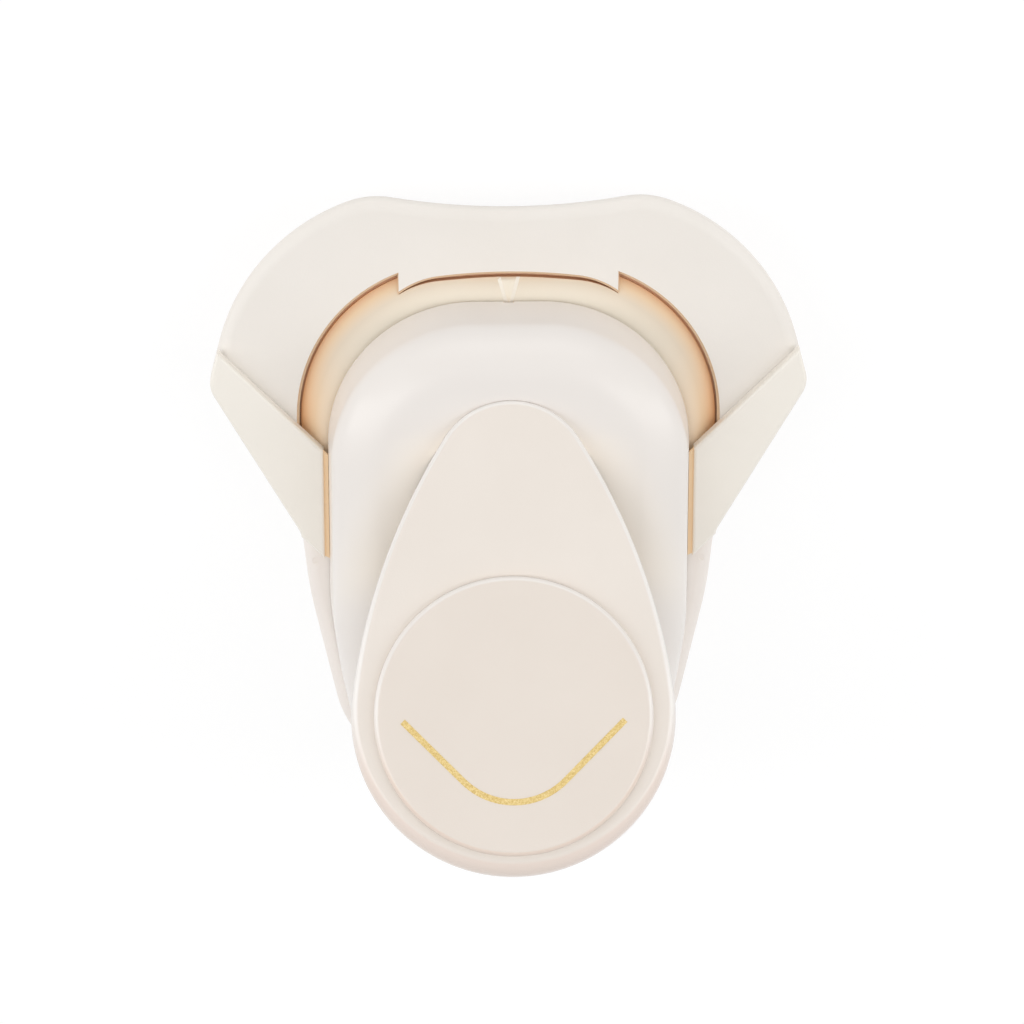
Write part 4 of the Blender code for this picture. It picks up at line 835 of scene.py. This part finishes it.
def clipped(outline, corners):
    """The part of an outline inside a convex shape; both run counterclockwise."""
    for index, corner in enumerate(corners):
        start = Vector(corners[index - 1])
        along = Vector(corner) - start
        kept = []
        for number, point in enumerate(outline):
            before = Vector(outline[number - 1])
            here = Vector(point)
            side_before = along.cross(before - start)
            side_here = along.cross(here - start)
            if side_before * side_here < 0:
                kept.append(tuple(before.lerp(here, side_before / (side_before - side_here))))
            if side_here >= 0:
                kept.append(tuple(here))
        outline = kept
    apart = [(Vector(point) - Vector(outline[number - 1])).length for number, point in enumerate(outline)]
    return [point for point, distance in zip(outline, apart) if distance > MERGE_DISTANCE]


def inside(place, outline):
    """Whether a place lies inside an outline, seen from above."""
    crossings = 0
    for index, (x, y) in enumerate(outline):
        before_x, before_y = outline[index - 1]
        if (y > place.y) != (before_y > place.y):
            crossings += place.x < x + (before_x - x) * (place.y - y) / (before_y - y)
    return crossings % 2 == 1


def tint(item, material, chosen):
    """Gives a further material to the chosen faces of a piece."""
    item.data.materials.append(material)
    for face in item.data.polygons:
        if chosen(face):
            face.material_index = len(item.data.materials) - 1


def tab_sides_kept(outline, moved, distance):
    """The moved cut-out with the tab's straight sides moved less, so that its corners stay sharp."""
    kept = list(moved)
    count = len(outline)
    for index, (x, y) in enumerate(outline):
        if abs(abs(x) - TAB_HALF) > EXACT_DISTANCE or distance == 0:
            continue
        after = (index + 1) % count
        beside = index - 1 if abs(abs(outline[after][0]) - TAB_HALF) < EXACT_DISTANCE else after
        near = Vector(moved[beside])
        corner = Vector(moved[index])
        wanted = math.copysign(TAB_HALF + distance * TAB_SIDE_EDGE, x)
        kept[index] = tuple(near + (corner - near) * (wanted - near.x) / (corner.x - near.x))
    return kept


def build_table(material, wall):
    """The plate under the card, with its cut-out and thinner tab."""
    low = CARD_HEIGHT - TABLE_THICKNESS
    table = loft("table_plate", slab_rings(base_outline(), low, CARD_HEIGHT, EDGE_RADIUS))
    below = low - OVERRUN
    above = CARD_HEIGHT + OVERRUN
    cut(table, prism("table rear", rectangle(LENGTH, -LENGTH, TABLE_END_Y), below, above))
    moat = moat_outline()
    rings = [at_height(tab_sides_kept(moat, inset(moat, CUTOUT_EDGE), CUTOUT_EDGE), below)]
    for d, drop in edge_profile(CUTOUT_EDGE, FINE_STEPS):
        rings.append(at_height(tab_sides_kept(moat, inset(moat, d), d), CARD_HEIGHT - CUTOUT_EDGE + drop))
    rings = rings[:1] + rings[:0:-1]
    rings.append([(x, y, above) for x, y, z in rings[-1]])
    cut(table, loft("table cut-out", rings))
    cut(table, prism("under the tab", inset(round_outline(), GAP / 2), below, CARD_HEIGHT - TAB_THICKNESS))
    finish_piece(table, material, "base", ["paper_table"])
    # Painted shade: the cut-out's rounded edge and walls below the card's level are coloured tan-orange
    room = inset(round_outline(), -CUTOUT_EDGE - GAP / 2)
    tint(table, wall, lambda face: CARD_HEIGHT - face.center.z > FINE_TOLERANCE and inside(face.center, room))


def build_guide(side, material, wall):
    """A card guide: a wing of the table's outline with a straight card edge."""
    name = "guide_left" if side < 0 else "guide_right"
    tip_y = HEAD_Y - GUIDE_TIP_BACK
    inner_x = WALL_LINE + SLOT_WIDEN
    keep = [
        (inner_x, tip_y + SLOT_WIDEN),
        (WALL_LINE + LENGTH, tip_y + LENGTH),
        (WALL_LINE + LENGTH, HEAD_Y + LENGTH),
        (inner_x, HEAD_Y + SLOT_WIDEN),
    ]
    outline = [(side * x, y) for x, y in clipped(base_outline(), keep)][::side]
    rings = [at_height(outline, CARD_HEIGHT + SEAT_GAP)]
    for d, drop in land_profile(GUIDE_EDGE, LAND_STEPS):
        rings.append(at_height(inset(outline, d), CARD_HEIGHT + GUIDE_HEIGHT - drop))
    guide = loft(name + "_wing", rings)
    lip = [
        (WALL_LINE - LIP_REACH, tip_y + GAP),
        (inner_x, tip_y + GAP + SLOT_WIDEN),
        (inner_x + GAP, tip_y + GUIDE_EDGE + SLOT_WIDEN + GAP * 2),
        (inner_x + GAP, HEAD_Y + SLOT_WIDEN - LIP_GAP),
        (inner_x, HEAD_Y + SLOT_WIDEN - LIP_GAP),
        (WALL_LINE - LIP_REACH, HEAD_Y - LIP_REACH - LIP_GAP),
    ]
    lip = [(side * x, y) for x, y in lip]
    join(guide, prism("guide lip", lip, CARD_HEIGHT + LIP_LOW, CARD_HEIGHT + GUIDE_HEIGHT - LIP_DROP))
    finish_piece(guide, material, "base", [name])
    # Painted orange glow: the guide's inner wall and lip beside the dome are coloured bright orange
    tint(guide, wall, lambda face: abs(face.center.x) < inner_x + FINE_TOLERANCE)


def dome_point(dome, centre, way):
    """Where a line from a centre first meets the dome's outline."""
    reaches = [DOME_HALF]
    for index, point in enumerate(dome):
        start = Vector(dome[index - 1]) - centre
        along = Vector(point) - Vector(dome[index - 1])
        across = way.cross(along)
        if abs(across) > 0:
            reach = start.cross(along) / across
            share = start.cross(way) / across
            if reach > 0 and 0 <= share <= 1:
                reaches.append(reach)
    return centre + way * min(reaches)


def bed_height(share):
    """The bed's level at a share of the way from its rim to the dome."""
    rim = CARD_HEIGHT - BED_RIM_DROP
    top = CARD_HEIGHT - BED_TOP_DROP
    return rim + (top - rim) * (1 - (1 - share) ** BED_CURVE)


def build_arrow(start_y, inner_y, outer_y):
    """The raised mark that narrows towards the dome, with sloping sides."""
    sections = []
    for index in range(ARROW_STEPS + 1):
        along = index / ARROW_STEPS
        y = start_y + (inner_y - ARROW_HALF / 2 - start_y) * along
        half = ARROW_HALF + (ARROW_TIP_HALF - ARROW_HALF) * along
        height = bed_height(min((outer_y - y) / (outer_y - inner_y), 1))
        crest = height + (ARROW_RISE if index else 0)
        crest_half = max(half - ARROW_SLOPE, ARROW_CREST_HALF)
        right = [(half, height - ARROW_SINK), (half, height), (crest_half, crest)]
        left = [(-x, z) for x, z in right]
        sections.append([(x, y, z) for x, z in left[:1] + right + left[:0:-1]])
    return loft("arrow", sections)


def build_bed(material, trench_shade, pale):
    """Lead-in inside the cut-out, climbing in a smooth curve to the card's level, with its arrow."""
    centre = Vector((0, HEAD_Y))
    dome = dome_outline()
    brim = round_outline(CUTOUT_EDGE + TRENCH_CLEARANCE)
    outer = [(x, y - TRENCH_SHIFT) for x, y in inset(brim, TRENCH_WIDTH)]
    inner = [tuple(dome_point(dome, centre, (Vector(point) - centre).normalized())) for point in outer]
    floor = CARD_HEIGHT - BED_RIM_DROP - TRENCH_DEPTH
    rings = [at_height(brim, DECK_TOP + BED_UNDER_GAP), at_height(brim, floor), at_height(outer, floor)]
    for index in range(BED_STEPS + 1):
        share = index / BED_STEPS
        ring = [tuple(Vector(start).lerp(Vector(end), share)) for start, end in zip(outer, inner)]
        rings.append(at_height(ring, bed_height(share)))
    bed = loft("bed_lead_in", rings)
    cut(bed, prism("bed rear", rectangle(LENGTH, -LENGTH, TABLE_END_Y), 0, LENGTH))
    tab_floor = CARD_HEIGHT - TAB_THICKNESS - GAP
    tab_front = rectangle(TAB_HALF + TRENCH_WIDTH, HEAD_Y, HEAD_Y + LENGTH)
    room = prism("tab room", tab_front, tab_floor, CARD_HEIGHT)
    limit = []
    for x, y in moat_outline():
        taper = TRENCH_TAPER * min(abs(x) / TAB_HALF, 1) ** TRENCH_TAPER_POWER
        limit.append((x, y - TAB_TRENCH * (1 - taper)))
    cut(room, prism("tab room limit", limit, 0, LENGTH))
    apply_modifiers(room)
    cut(bed, room)
    outer_y = max(y for x, y in outer)
    inner_y = HEAD_Y + DOME_NOSE
    start_y = HEAD_Y + TAB_MIDDLE_REACH - TAB_TRENCH
    join(bed, build_arrow(start_y, inner_y, outer_y))
    finish_piece(bed, material, "base", ["card_bed"])

    def in_trench(face):
        low = DECK_TOP + GAP < face.center.z < floor + FINE_TOLERANCE
        upright = face.normal.y > WALL_COS_FRONT and abs(face.normal.z) < WALL_COS_UP
        return low or (upright and face.center.z > tab_floor)

    def on_arrow(face):
        x, y, z = face.center
        near = abs(x) < ARROW_HALF and inner_y - ARROW_HALF < y < start_y + FINE_TOLERANCE
        return near and ARROW_COS_LOW < abs(face.normal.x) < ARROW_COS_HIGH

    # Painted shade: the trench behind the tab and its front-facing wall are coloured dark orange-brown
    tint(bed, trench_shade, in_trench)
    # Painted highlight: the arrow's sloping sides are coloured paler
    tint(bed, pale, on_arrow)


def build_housing(material):
    """The moulded body, seen as the ledge round the dome's tail."""
    outline = base_outline()
    housing = prism("housing_body", shrunk(outline, TUB_INSET), TUB_LOW, DECK_TOP)
    ledge = loft("tail ledge", slab_rings(outline, DECK_TOP - FLANGE_OVERLAP, CARD_HEIGHT, EDGE_RADIUS))
    front_y = TABLE_END_Y - GAP
    cut(ledge, prism("ledge front", rectangle(LENGTH, front_y, LENGTH), TUB_LOW, CARD_HEIGHT + OVERRUN))
    pocket = rectangle(DIE_HALF + GAP, DIE_REAR_Y - GAP, front_y + OVERRUN)
    cut(ledge, prism("die pocket", pocket, TUB_LOW, CARD_HEIGHT + OVERRUN))
    apply_modifiers(ledge)
    join(housing, ledge)
    punch_low, punch_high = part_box("punch")
    chute = rectangle(punch_high.x + CHUTE_MARGIN, punch_low.y - CHUTE_MARGIN, punch_high.y + CHUTE_MARGIN)
    cut(housing, prism("housing chute", chute, 0, CARD_HEIGHT))
    dimples = mirrored_places((DIMPLE_HALF, HEAD_Y - DIMPLE_BACK))
    cut(housing, hole("dimples", dimples, DIMPLE_RADIUS, CARD_HEIGHT - DIMPLE_DEPTH, CARD_HEIGHT + OVERRUN))
    finish_piece(housing, material, "base", ["base_housing"])


def dome_skin(outline, wall):
    """Rings of one side of the dome, from its lower edge up to its crown."""
    middle_y = HEAD_Y - ACTION_BACK / 2
    rings = []
    for share in (0, SLOT_GLOW_RISE / DOME_WALL_HEIGHT):
        height = DOME_LOW + DOME_WALL_HEIGHT * share
        rings.append(at_height(inset(outline, wall + DOME_DRAFT * share), height))
    for index in range(FINE_STEPS * 2 + 1):
        angle = math.pi / 2 * index / (FINE_STEPS * 2)
        side = DOME_DRAFT + wall + (SHOULDER_WIDTH - wall) * (1 - math.cos(angle))
        height = SHOULDER_Z + (SHOULDER_HEIGHT - wall) * math.sin(angle)
        rings.append(at_height(inset(outline, side), height))
    last = inset(outline, DOME_DRAFT + SHOULDER_WIDTH)
    for index in range(1, CROWN_STEPS + 1):
        share = 1 - CROWN_REACH_SHARE * index / CROWN_STEPS
        height = DOME_TOP - wall + CROWN_HEIGHT * (1 - share**2)
        rings.append([(x * share, middle_y + (y - middle_y) * share, height) for x, y in last])
    return rings


def lever_outline():
    """The lever seen square to its top face: small round tip, bowed sides and a large round end."""
    tip = (0, LEVER_TIP - TIP_RADIUS)
    end = (0, PAD_Y)
    to_tip = SIDE_RADIUS - TIP_RADIUS
    to_end = SIDE_RADIUS - END_RADIUS
    along = (CENTRES**2 + to_tip**2 - to_end**2) / (2 * CENTRES)
    side = (-math.sqrt(to_tip**2 - along**2), tip[1] - along)
    tip_angle = math.atan2(tip[1] - side[1], -side[0])
    end_angle = math.atan2(end[1] - side[1], -side[0])
    quarter = math.pi / 2
    right = arc(tip, TIP_RADIUS, quarter, tip_angle)
    right += arc(side, SIDE_RADIUS, tip_angle, end_angle)[1:]
    right += arc(end, END_RADIUS, end_angle, -quarter)[1:]
    return both_sides(right)


def lever_share(y):
    """0 at the lever's tip and 1 at its round end."""
    return (LEVER_TIP - y) / (TIP_RADIUS + CENTRES + END_RADIUS)


def lever_opening():
    """Cutter for the dome: where the raised lever passes its top, and a slot behind for the action."""
    rear_y = HEAD_Y - OPENING_REAR
    grown = inset(lever_outline(), -OPENING_GAP)
    crossing = PIVOT_Y + (DOME_TOP - PIVOT_Z) * math.tan(REST_TILT)
    world = [(x, crossing + y / math.cos(REST_TILT)) for x, y in grown]
    right = [(x, y) for x, y in world if x > -FINE_TOLERANCE and y > rear_y]
    right.sort(key=lambda point: point[0])
    right += [
        (right[-1][0], rear_y),
        (OPENING_SLOT_HALF, rear_y),
        (OPENING_SLOT_HALF, HEAD_Y - OPENING_SLOT_BACK),
        (0, HEAD_Y - OPENING_SLOT_BACK),
    ]
    return prism("lever opening", both_sides(right), CEILING - OPENING_SKIN, DOME_TOP + OVERRUN * 3)


def build_dome(material, wall, glow):
    """Top cover: a domed shell with the card slot under its lip, screw bosses and the pivot's ears."""
    outline = dome_outline()
    rings = list(reversed(dome_skin(outline, DOME_WALL))) + dome_skin(outline, 0)
    dome = loft("dome_shell", rings)
    screws = mirrored_places(
        (DOME_HALF - FRONT_BOSS_MARGIN, HEAD_Y - FRONT_BOSS_BACK),
        (DOME_TAIL_HALF - REAR_BOSS_SIDE_MARGIN, HEAD_Y - TAIL_BACK + REAR_BOSS_MARGIN),
    )
    join(dome, hole("dome bosses", screws, SCREW_BOSS, DOME_LOW, DOME_LOW + DOME_BOSS_RISE))
    ear_inner = CHEEK_OUTER + EAR_CLEARANCE
    for side in (1, -1):
        near, far = side * ear_inner, side * (ear_inner + EAR_THICKNESS)
        rear, front = PIVOT_Y - EAR_HALF_LENGTH, PIVOT_Y + EAR_HALF_LENGTH
        ear = [(near, rear), (far, rear), (far, front), (near, front)]
        join(dome, prism("ear", ear, PIVOT_Z - EAR_DEPTH, CEILING + DOME_WALL / 2))
    cut(dome, lever_opening())
    pin = circle((PIVOT_Y, PIVOT_Z), PIVOT_RADIUS + RUN_GAP, ROUND_SIDES)
    cut(dome, loft("dome pin hole", [[(x, y, z) for y, z in pin] for x in (-PIN_HOLE_HALF, PIN_HOLE_HALF)]))
    cut(dome, prism("card slot", rectangle(LENGTH, HEAD_Y - GUIDE_GAP, LENGTH), 0, LIP_Z))
    nose_y = HEAD_Y + DOME_NOSE
    notch = circle((0, nose_y - NOTCH_DEPTH + NOTCH_RADIUS), NOTCH_RADIUS, ROUND_SIDES)
    cut(dome, prism("sight notch", notch, LIP_Z - OVERRUN, LIP_Z + NOTCH_HEIGHT))
    cut(dome, hole("dome threads", screws, SCREW_RADIUS + GAP, 0, DOME_LOW + DOME_SCREW_RISE + GAP))
    finish_piece(dome, material, "base", ["dome_cover"])
    # Painted shade: the sight notch's faces in the dome's lip are coloured tan-orange
    notch_back = nose_y - NOTCH_DEPTH - FINE_TOLERANCE
    tint(dome, wall, lambda face: face.center.y > notch_back and LIP_Z < face.center.z < LIP_Z + NOTCH_HEIGHT)

    def in_slot(face):
        low = face.center.z < DOME_LOW + SLOT_GLOW_RISE
        beside_guide = HEAD_Y - GUIDE_TIP_BACK < face.center.y < HEAD_Y + SLOT_GLOW_AHEAD
        return low and abs(face.center.x) > DOME_HALF - DOME_DRAFT and beside_guide

    # Painted orange glow on the dome's foot in the slot beside each guide
    tint(dome, glow, in_slot)


def build_lever(material, land):
    """The teardrop cap: a top face with rounded edges and a skirt that deepens towards the round end."""
    outline = lever_outline()
    inner = inset(outline, SKIRT_WALL)
    roof = LEVER_TOP - LEVER_ROOF

    def skirt_z(y):
        return min(LEVER_TOP - SKIRT_FRONT - (SKIRT_REAR - SKIRT_FRONT) * lever_share(y) ** 2, roof - GAP)

    rings = [
        at_height(inner, roof),
        [(x, y, skirt_z(y)) for x, y in inner],
        [(x, y, skirt_z(y)) for x, y in outline],
    ]
    for sloped, round_one in zip(land_profile(1.0, LAND_STEPS), edge_profile(1.0, LAND_STEPS)):
        ring = []
        for point, other in zip(outline, inner):
            growth = lever_share(point[1]) ** LEVER_EDGE_GROWTH
            radius = LEVER_EDGE_FRONT + (LEVER_EDGE_REAR - LEVER_EDGE_FRONT) * growth
            share = sloped[0] + (round_one[0] - sloped[0]) * growth
            drop = sloped[1] + (round_one[1] - sloped[1]) * growth
            moved = Vector(point).lerp(Vector(other), share * radius / SKIRT_WALL)
            ring.append((moved.x, moved.y, LEVER_TOP - drop * radius))
        rings.append(ring)
    shell = loft("lever_cap", rings)
    recess = circle((0, PAD_Y), PAD_RADIUS + PAD_GAP, PAD_SIDES)
    cut(shell, prism("pad recess", recess, LEVER_TOP - PAD_RECESS, LEVER_TOP + OVERRUN))
    finish_piece(shell, material, "lever", ["lever_shell"], LEVER_FRAME)
    # Painted highlight on the lever's sloping edges, fading to painted shade on its rear rim
    tint(shell, land, on_land)


def on_land(face):
    """Whether a face of the lever or its pad slopes gently beside the top face."""
    return LAND_COS_STEEP < face.normal.dot(LEVER_UP) < LAND_COS_FLAT


def mark_outline():
    """The corner mark seen from above: a quarter arc between two straight arms, as a stroke."""
    half = MARK_WIDTH / 2
    quarter = math.pi / 2
    centre = (0, PAD_Y - MARK_APEX + CORNER_RADIUS * math.sqrt(2))
    outer = arc(centre, CORNER_RADIUS + half, -quarter, -quarter / 2)
    inner = arc(centre, CORNER_RADIUS - half, -quarter / 2, -quarter)
    run = MARK_SPAN / 2 - CORNER_RADIUS / math.sqrt(2)
    outer_end = (outer[-1][0] + run, outer[-1][1] + run)
    inner_end = (inner[0][0] + run, inner[0][1] + run)
    right = outer + [outer_end, inner_end] + inner
    return [(-x, y) for x, y in right[::-1]][:-1] + right[:-1]


def build_pad(material, land, foil):
    """Raised round pad with the foil mark stamped into it."""
    outline = circle((0, PAD_Y), PAD_RADIUS, PAD_SIDES)
    low = LEVER_TOP - PAD_RECESS + GAP
    high = LEVER_TOP + PAD_PROUD
    rings = [at_height(outline, low)]
    rings += [at_height(inset(outline, d), high - drop) for d, drop in land_profile(PAD_EDGE, LAND_STEPS)]
    pad = loft("pad_disc", rings)
    finish_piece(pad, material, "lever", ["thumb_pad"], LEVER_FRAME)
    # Painted highlight on the pad's sloping edge, fading to painted shade towards its rear
    tint(pad, land, on_land)
    top = high + MARK_PROUD
    mark = prism("foil_mark", mark_outline(), top - MARK_THICKNESS, top)
    finish_piece(mark, foil, "lever", ["corner_mark"], LEVER_FRAME)


def dress_node(name, material):
    """Gives a CAD node its finished material."""
    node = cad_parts[name]
    if node.data.users > 1:
        node.data = node.data.copy()
    node.data.materials.clear()
    node.data.materials.append(material)


def press_springs():
    """Gives each return spring its own copy of its mesh."""
    for name in ("return_spring_left", "return_spring_right"):
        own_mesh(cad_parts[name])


def build_pieces():
    """Builds the shells and dresses the inner nodes."""
    cream = plastic("cream plastic", LEVER_COLOUR, 0.4, SHELL_GRAIN, 0.012 * MM, coat=0.9)
    pad = plastic("pad plastic", PAD_COLOUR, 0.4, SHELL_GRAIN, 0.012 * MM, coat=0.9)
    # Painted highlight colours for the sloping edges, and painted shade colours for their rear rims
    lever_edge_highlight = edge_highlight_material("lever edge highlight plastic", LEVER_COLOUR, (0.87, 0.83, 0.79), (0.85, 0.73, 0.65))
    pad_edge_highlight = edge_highlight_material("pad edge highlight plastic", PAD_COLOUR, (0.86, 0.81, 0.765), (0.84, 0.7, 0.6))
    table = plastic("table plastic", (0.885, 0.84, 0.785), 0.52, SHELL_GRAIN, 0.014 * MM, coat=0.15)
    guide = plastic("guide plastic", (0.93, 0.885, 0.81), 0.45, SHELL_GRAIN, 0.014 * MM, coat=0.6)
    ledge = plastic("ledge plastic", (0.94, 0.88, 0.83), 0.5, SHELL_GRAIN, 0.012 * MM, coat=0.2)
    # Painted shade colour for the table's cut-out edge and the dome's sight notch
    wall = plastic("painted shade wall plastic", (0.76, 0.55, 0.36), 0.6, INNER_GRAIN, 0.01 * MM)
    # Painted orange glow colour for the gap between each guide and the dome
    lip = plastic("painted glow lip plastic", (0.97, 0.75, 0.5), 0.6, INNER_GRAIN, 0.01 * MM)
    # Painted shade colour for the trench behind the tab
    trench_shade = plastic("trench shade plastic", (0.8, 0.5, 0.32), 0.6, INNER_GRAIN, 0.01 * MM)
    # Painted highlight colour for the arrow's sloping sides
    pale = plastic("arrow highlight plastic", (0.93, 0.87, 0.77), 0.5, INNER_GRAIN, 0.01 * MM)
    gloss = dome_material()
    # Painted orange glow colour for the dome's foot beside the guides
    glow = plastic("dome foot painted glow plastic", (0.93, 0.8, 0.66), 0.5, INNER_GRAIN, 0.006 * MM)
    nylon = plastic("nylon", (0.62, 0.6, 0.56), 0.5, 0.4 * MM, 0.006 * MM)
    steel = metal("ground steel", (0.62, 0.63, 0.64), 0.32, 0.5 * MM, 0.003 * MM, (0.12, 1.0, 1.0))
    wire = metal("spring wire", (0.5, 0.5, 0.52), 0.28, INNER_GRAIN, 0.002 * MM)
    foil = foil_material()
    rubber = rubber_material()
    bed = bed_painted_shade_material()

    build_table(table, wall)
    for side in (-1, 1):
        build_guide(side, guide, lip)
    build_bed(bed, trench_shade, pale)
    build_housing(ledge)
    build_dome(gloss, wall, glow)
    build_lever(cream, lever_edge_highlight)
    build_pad(pad, pad_edge_highlight, foil)

    special = {"base_pan": cream, "punch_holder": nylon, "return_spring": wire, "foot": rubber}
    for name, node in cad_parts.items():
        if not node.hide_render:
            dress_node(name, next((look for start, look in special.items() if name.startswith(start)), steel))
    press_springs()


# Stage: floor, world, lamps and camera


def seen_directly(tree):
    """1 for rays that see the backdrop itself: from the camera, or through gloss or glass."""
    rays = add(tree, "LightPath", {}).outputs
    direct = compute(tree, "MAXIMUM", rays["Is Camera Ray"], rays["Is Glossy Ray"])
    return compute(tree, "MAXIMUM", direct, rays["Is Transmission Ray"])


def build_floor():
    """A wide pale floor that keeps a faint shadow and otherwise shows white."""
    bm = bmesh.new()
    bmesh.ops.create_grid(bm, x_segments=8, y_segments=8, size=FLOOR_HALF)
    floor = add_object(bm, "floor")
    material, tree = new_material("floor")
    paper = noise(tree, coordinates(tree), PAPER_GRAIN)
    colour = mottled(tree, paper, PAPER_DEEP, PAPER_PALE)
    dress(tree, {"Base Color": colour, "Roughness": 0.9, "Specular IOR Level": 0.2})
    glow = add(tree, "Emission", {"Color": WHITE, "Strength": FLOOR_GLOW})
    factor = compute(tree, "MULTIPLY", seen_directly(tree), FLOOR_GLOW_SHARE)
    shader = tree.nodes["Principled BSDF"].outputs["BSDF"]
    mix = add(tree, "MixShader", {"Fac": factor, 1: shader, 2: glow.outputs["Emission"]})
    feed(tree, tree.nodes["Material Output"], {"Surface": mix.outputs["Shader"]})
    floor.data.materials.append(material)


def build_world():
    """Even light from all round, and a white view behind the floor."""
    world = bpy.data.worlds.new("studio")
    bpy.context.scene.world = world
    world.use_nodes = True
    tree = world.node_tree
    light = feed(tree, tree.nodes["Background"], {"Color": WHITE, "Strength": WORLD_LIGHT})
    backdrop = add(tree, "Background", {"Color": WHITE, "Strength": 1.0})
    sides = {1: light.outputs["Background"], 2: backdrop.outputs["Background"]}
    mix = add(tree, "MixShader", {"Fac": seen_directly(tree), **sides})
    feed(tree, tree.nodes["World Output"], {"Surface": mix.outputs["Shader"]})


def lamp(name, place, width, height, power):
    """A rectangular soft lamp that looks at the object."""
    data = bpy.data.lights.new(name, "AREA")
    data.shape = "RECTANGLE"
    data.size = width
    data.size_y = height
    data.energy = power
    item = bpy.data.objects.new(name, data)
    item.location = place
    way = Vector(place) - Vector(LAMP_TARGET)
    item.rotation_euler = way.to_track_quat("Z", "Y").to_euler()
    bpy.context.scene.collection.objects.link(item)


def build_camera():
    """The photograph's view: from above, leaning towards the card entry."""
    data = bpy.data.cameras.new("camera")
    data.lens = CAMERA_LENS
    data.clip_start = 0.01
    data.clip_end = 10
    item = bpy.data.objects.new("camera", data)
    back = Vector((-math.sin(CAMERA_SWING), math.sin(CAMERA_LEAN), math.cos(CAMERA_LEAN))).normalized()
    right = Vector((0, 1, 0)).cross(back).normalized()
    up = back.cross(right)
    turn = Matrix((right, up, back)).transposed().to_4x4()
    item.matrix_world = Matrix.Translation(Vector(CAMERA_TARGET) + back * CAMERA_DISTANCE) @ turn
    bpy.context.scene.collection.objects.link(item)
    bpy.context.scene.camera = item


build_pieces()
build_floor()
build_world()
for lamp_values in LAMPS:
    lamp(*lamp_values)
build_camera()
bpy.context.scene.view_settings.view_transform = "Standard"
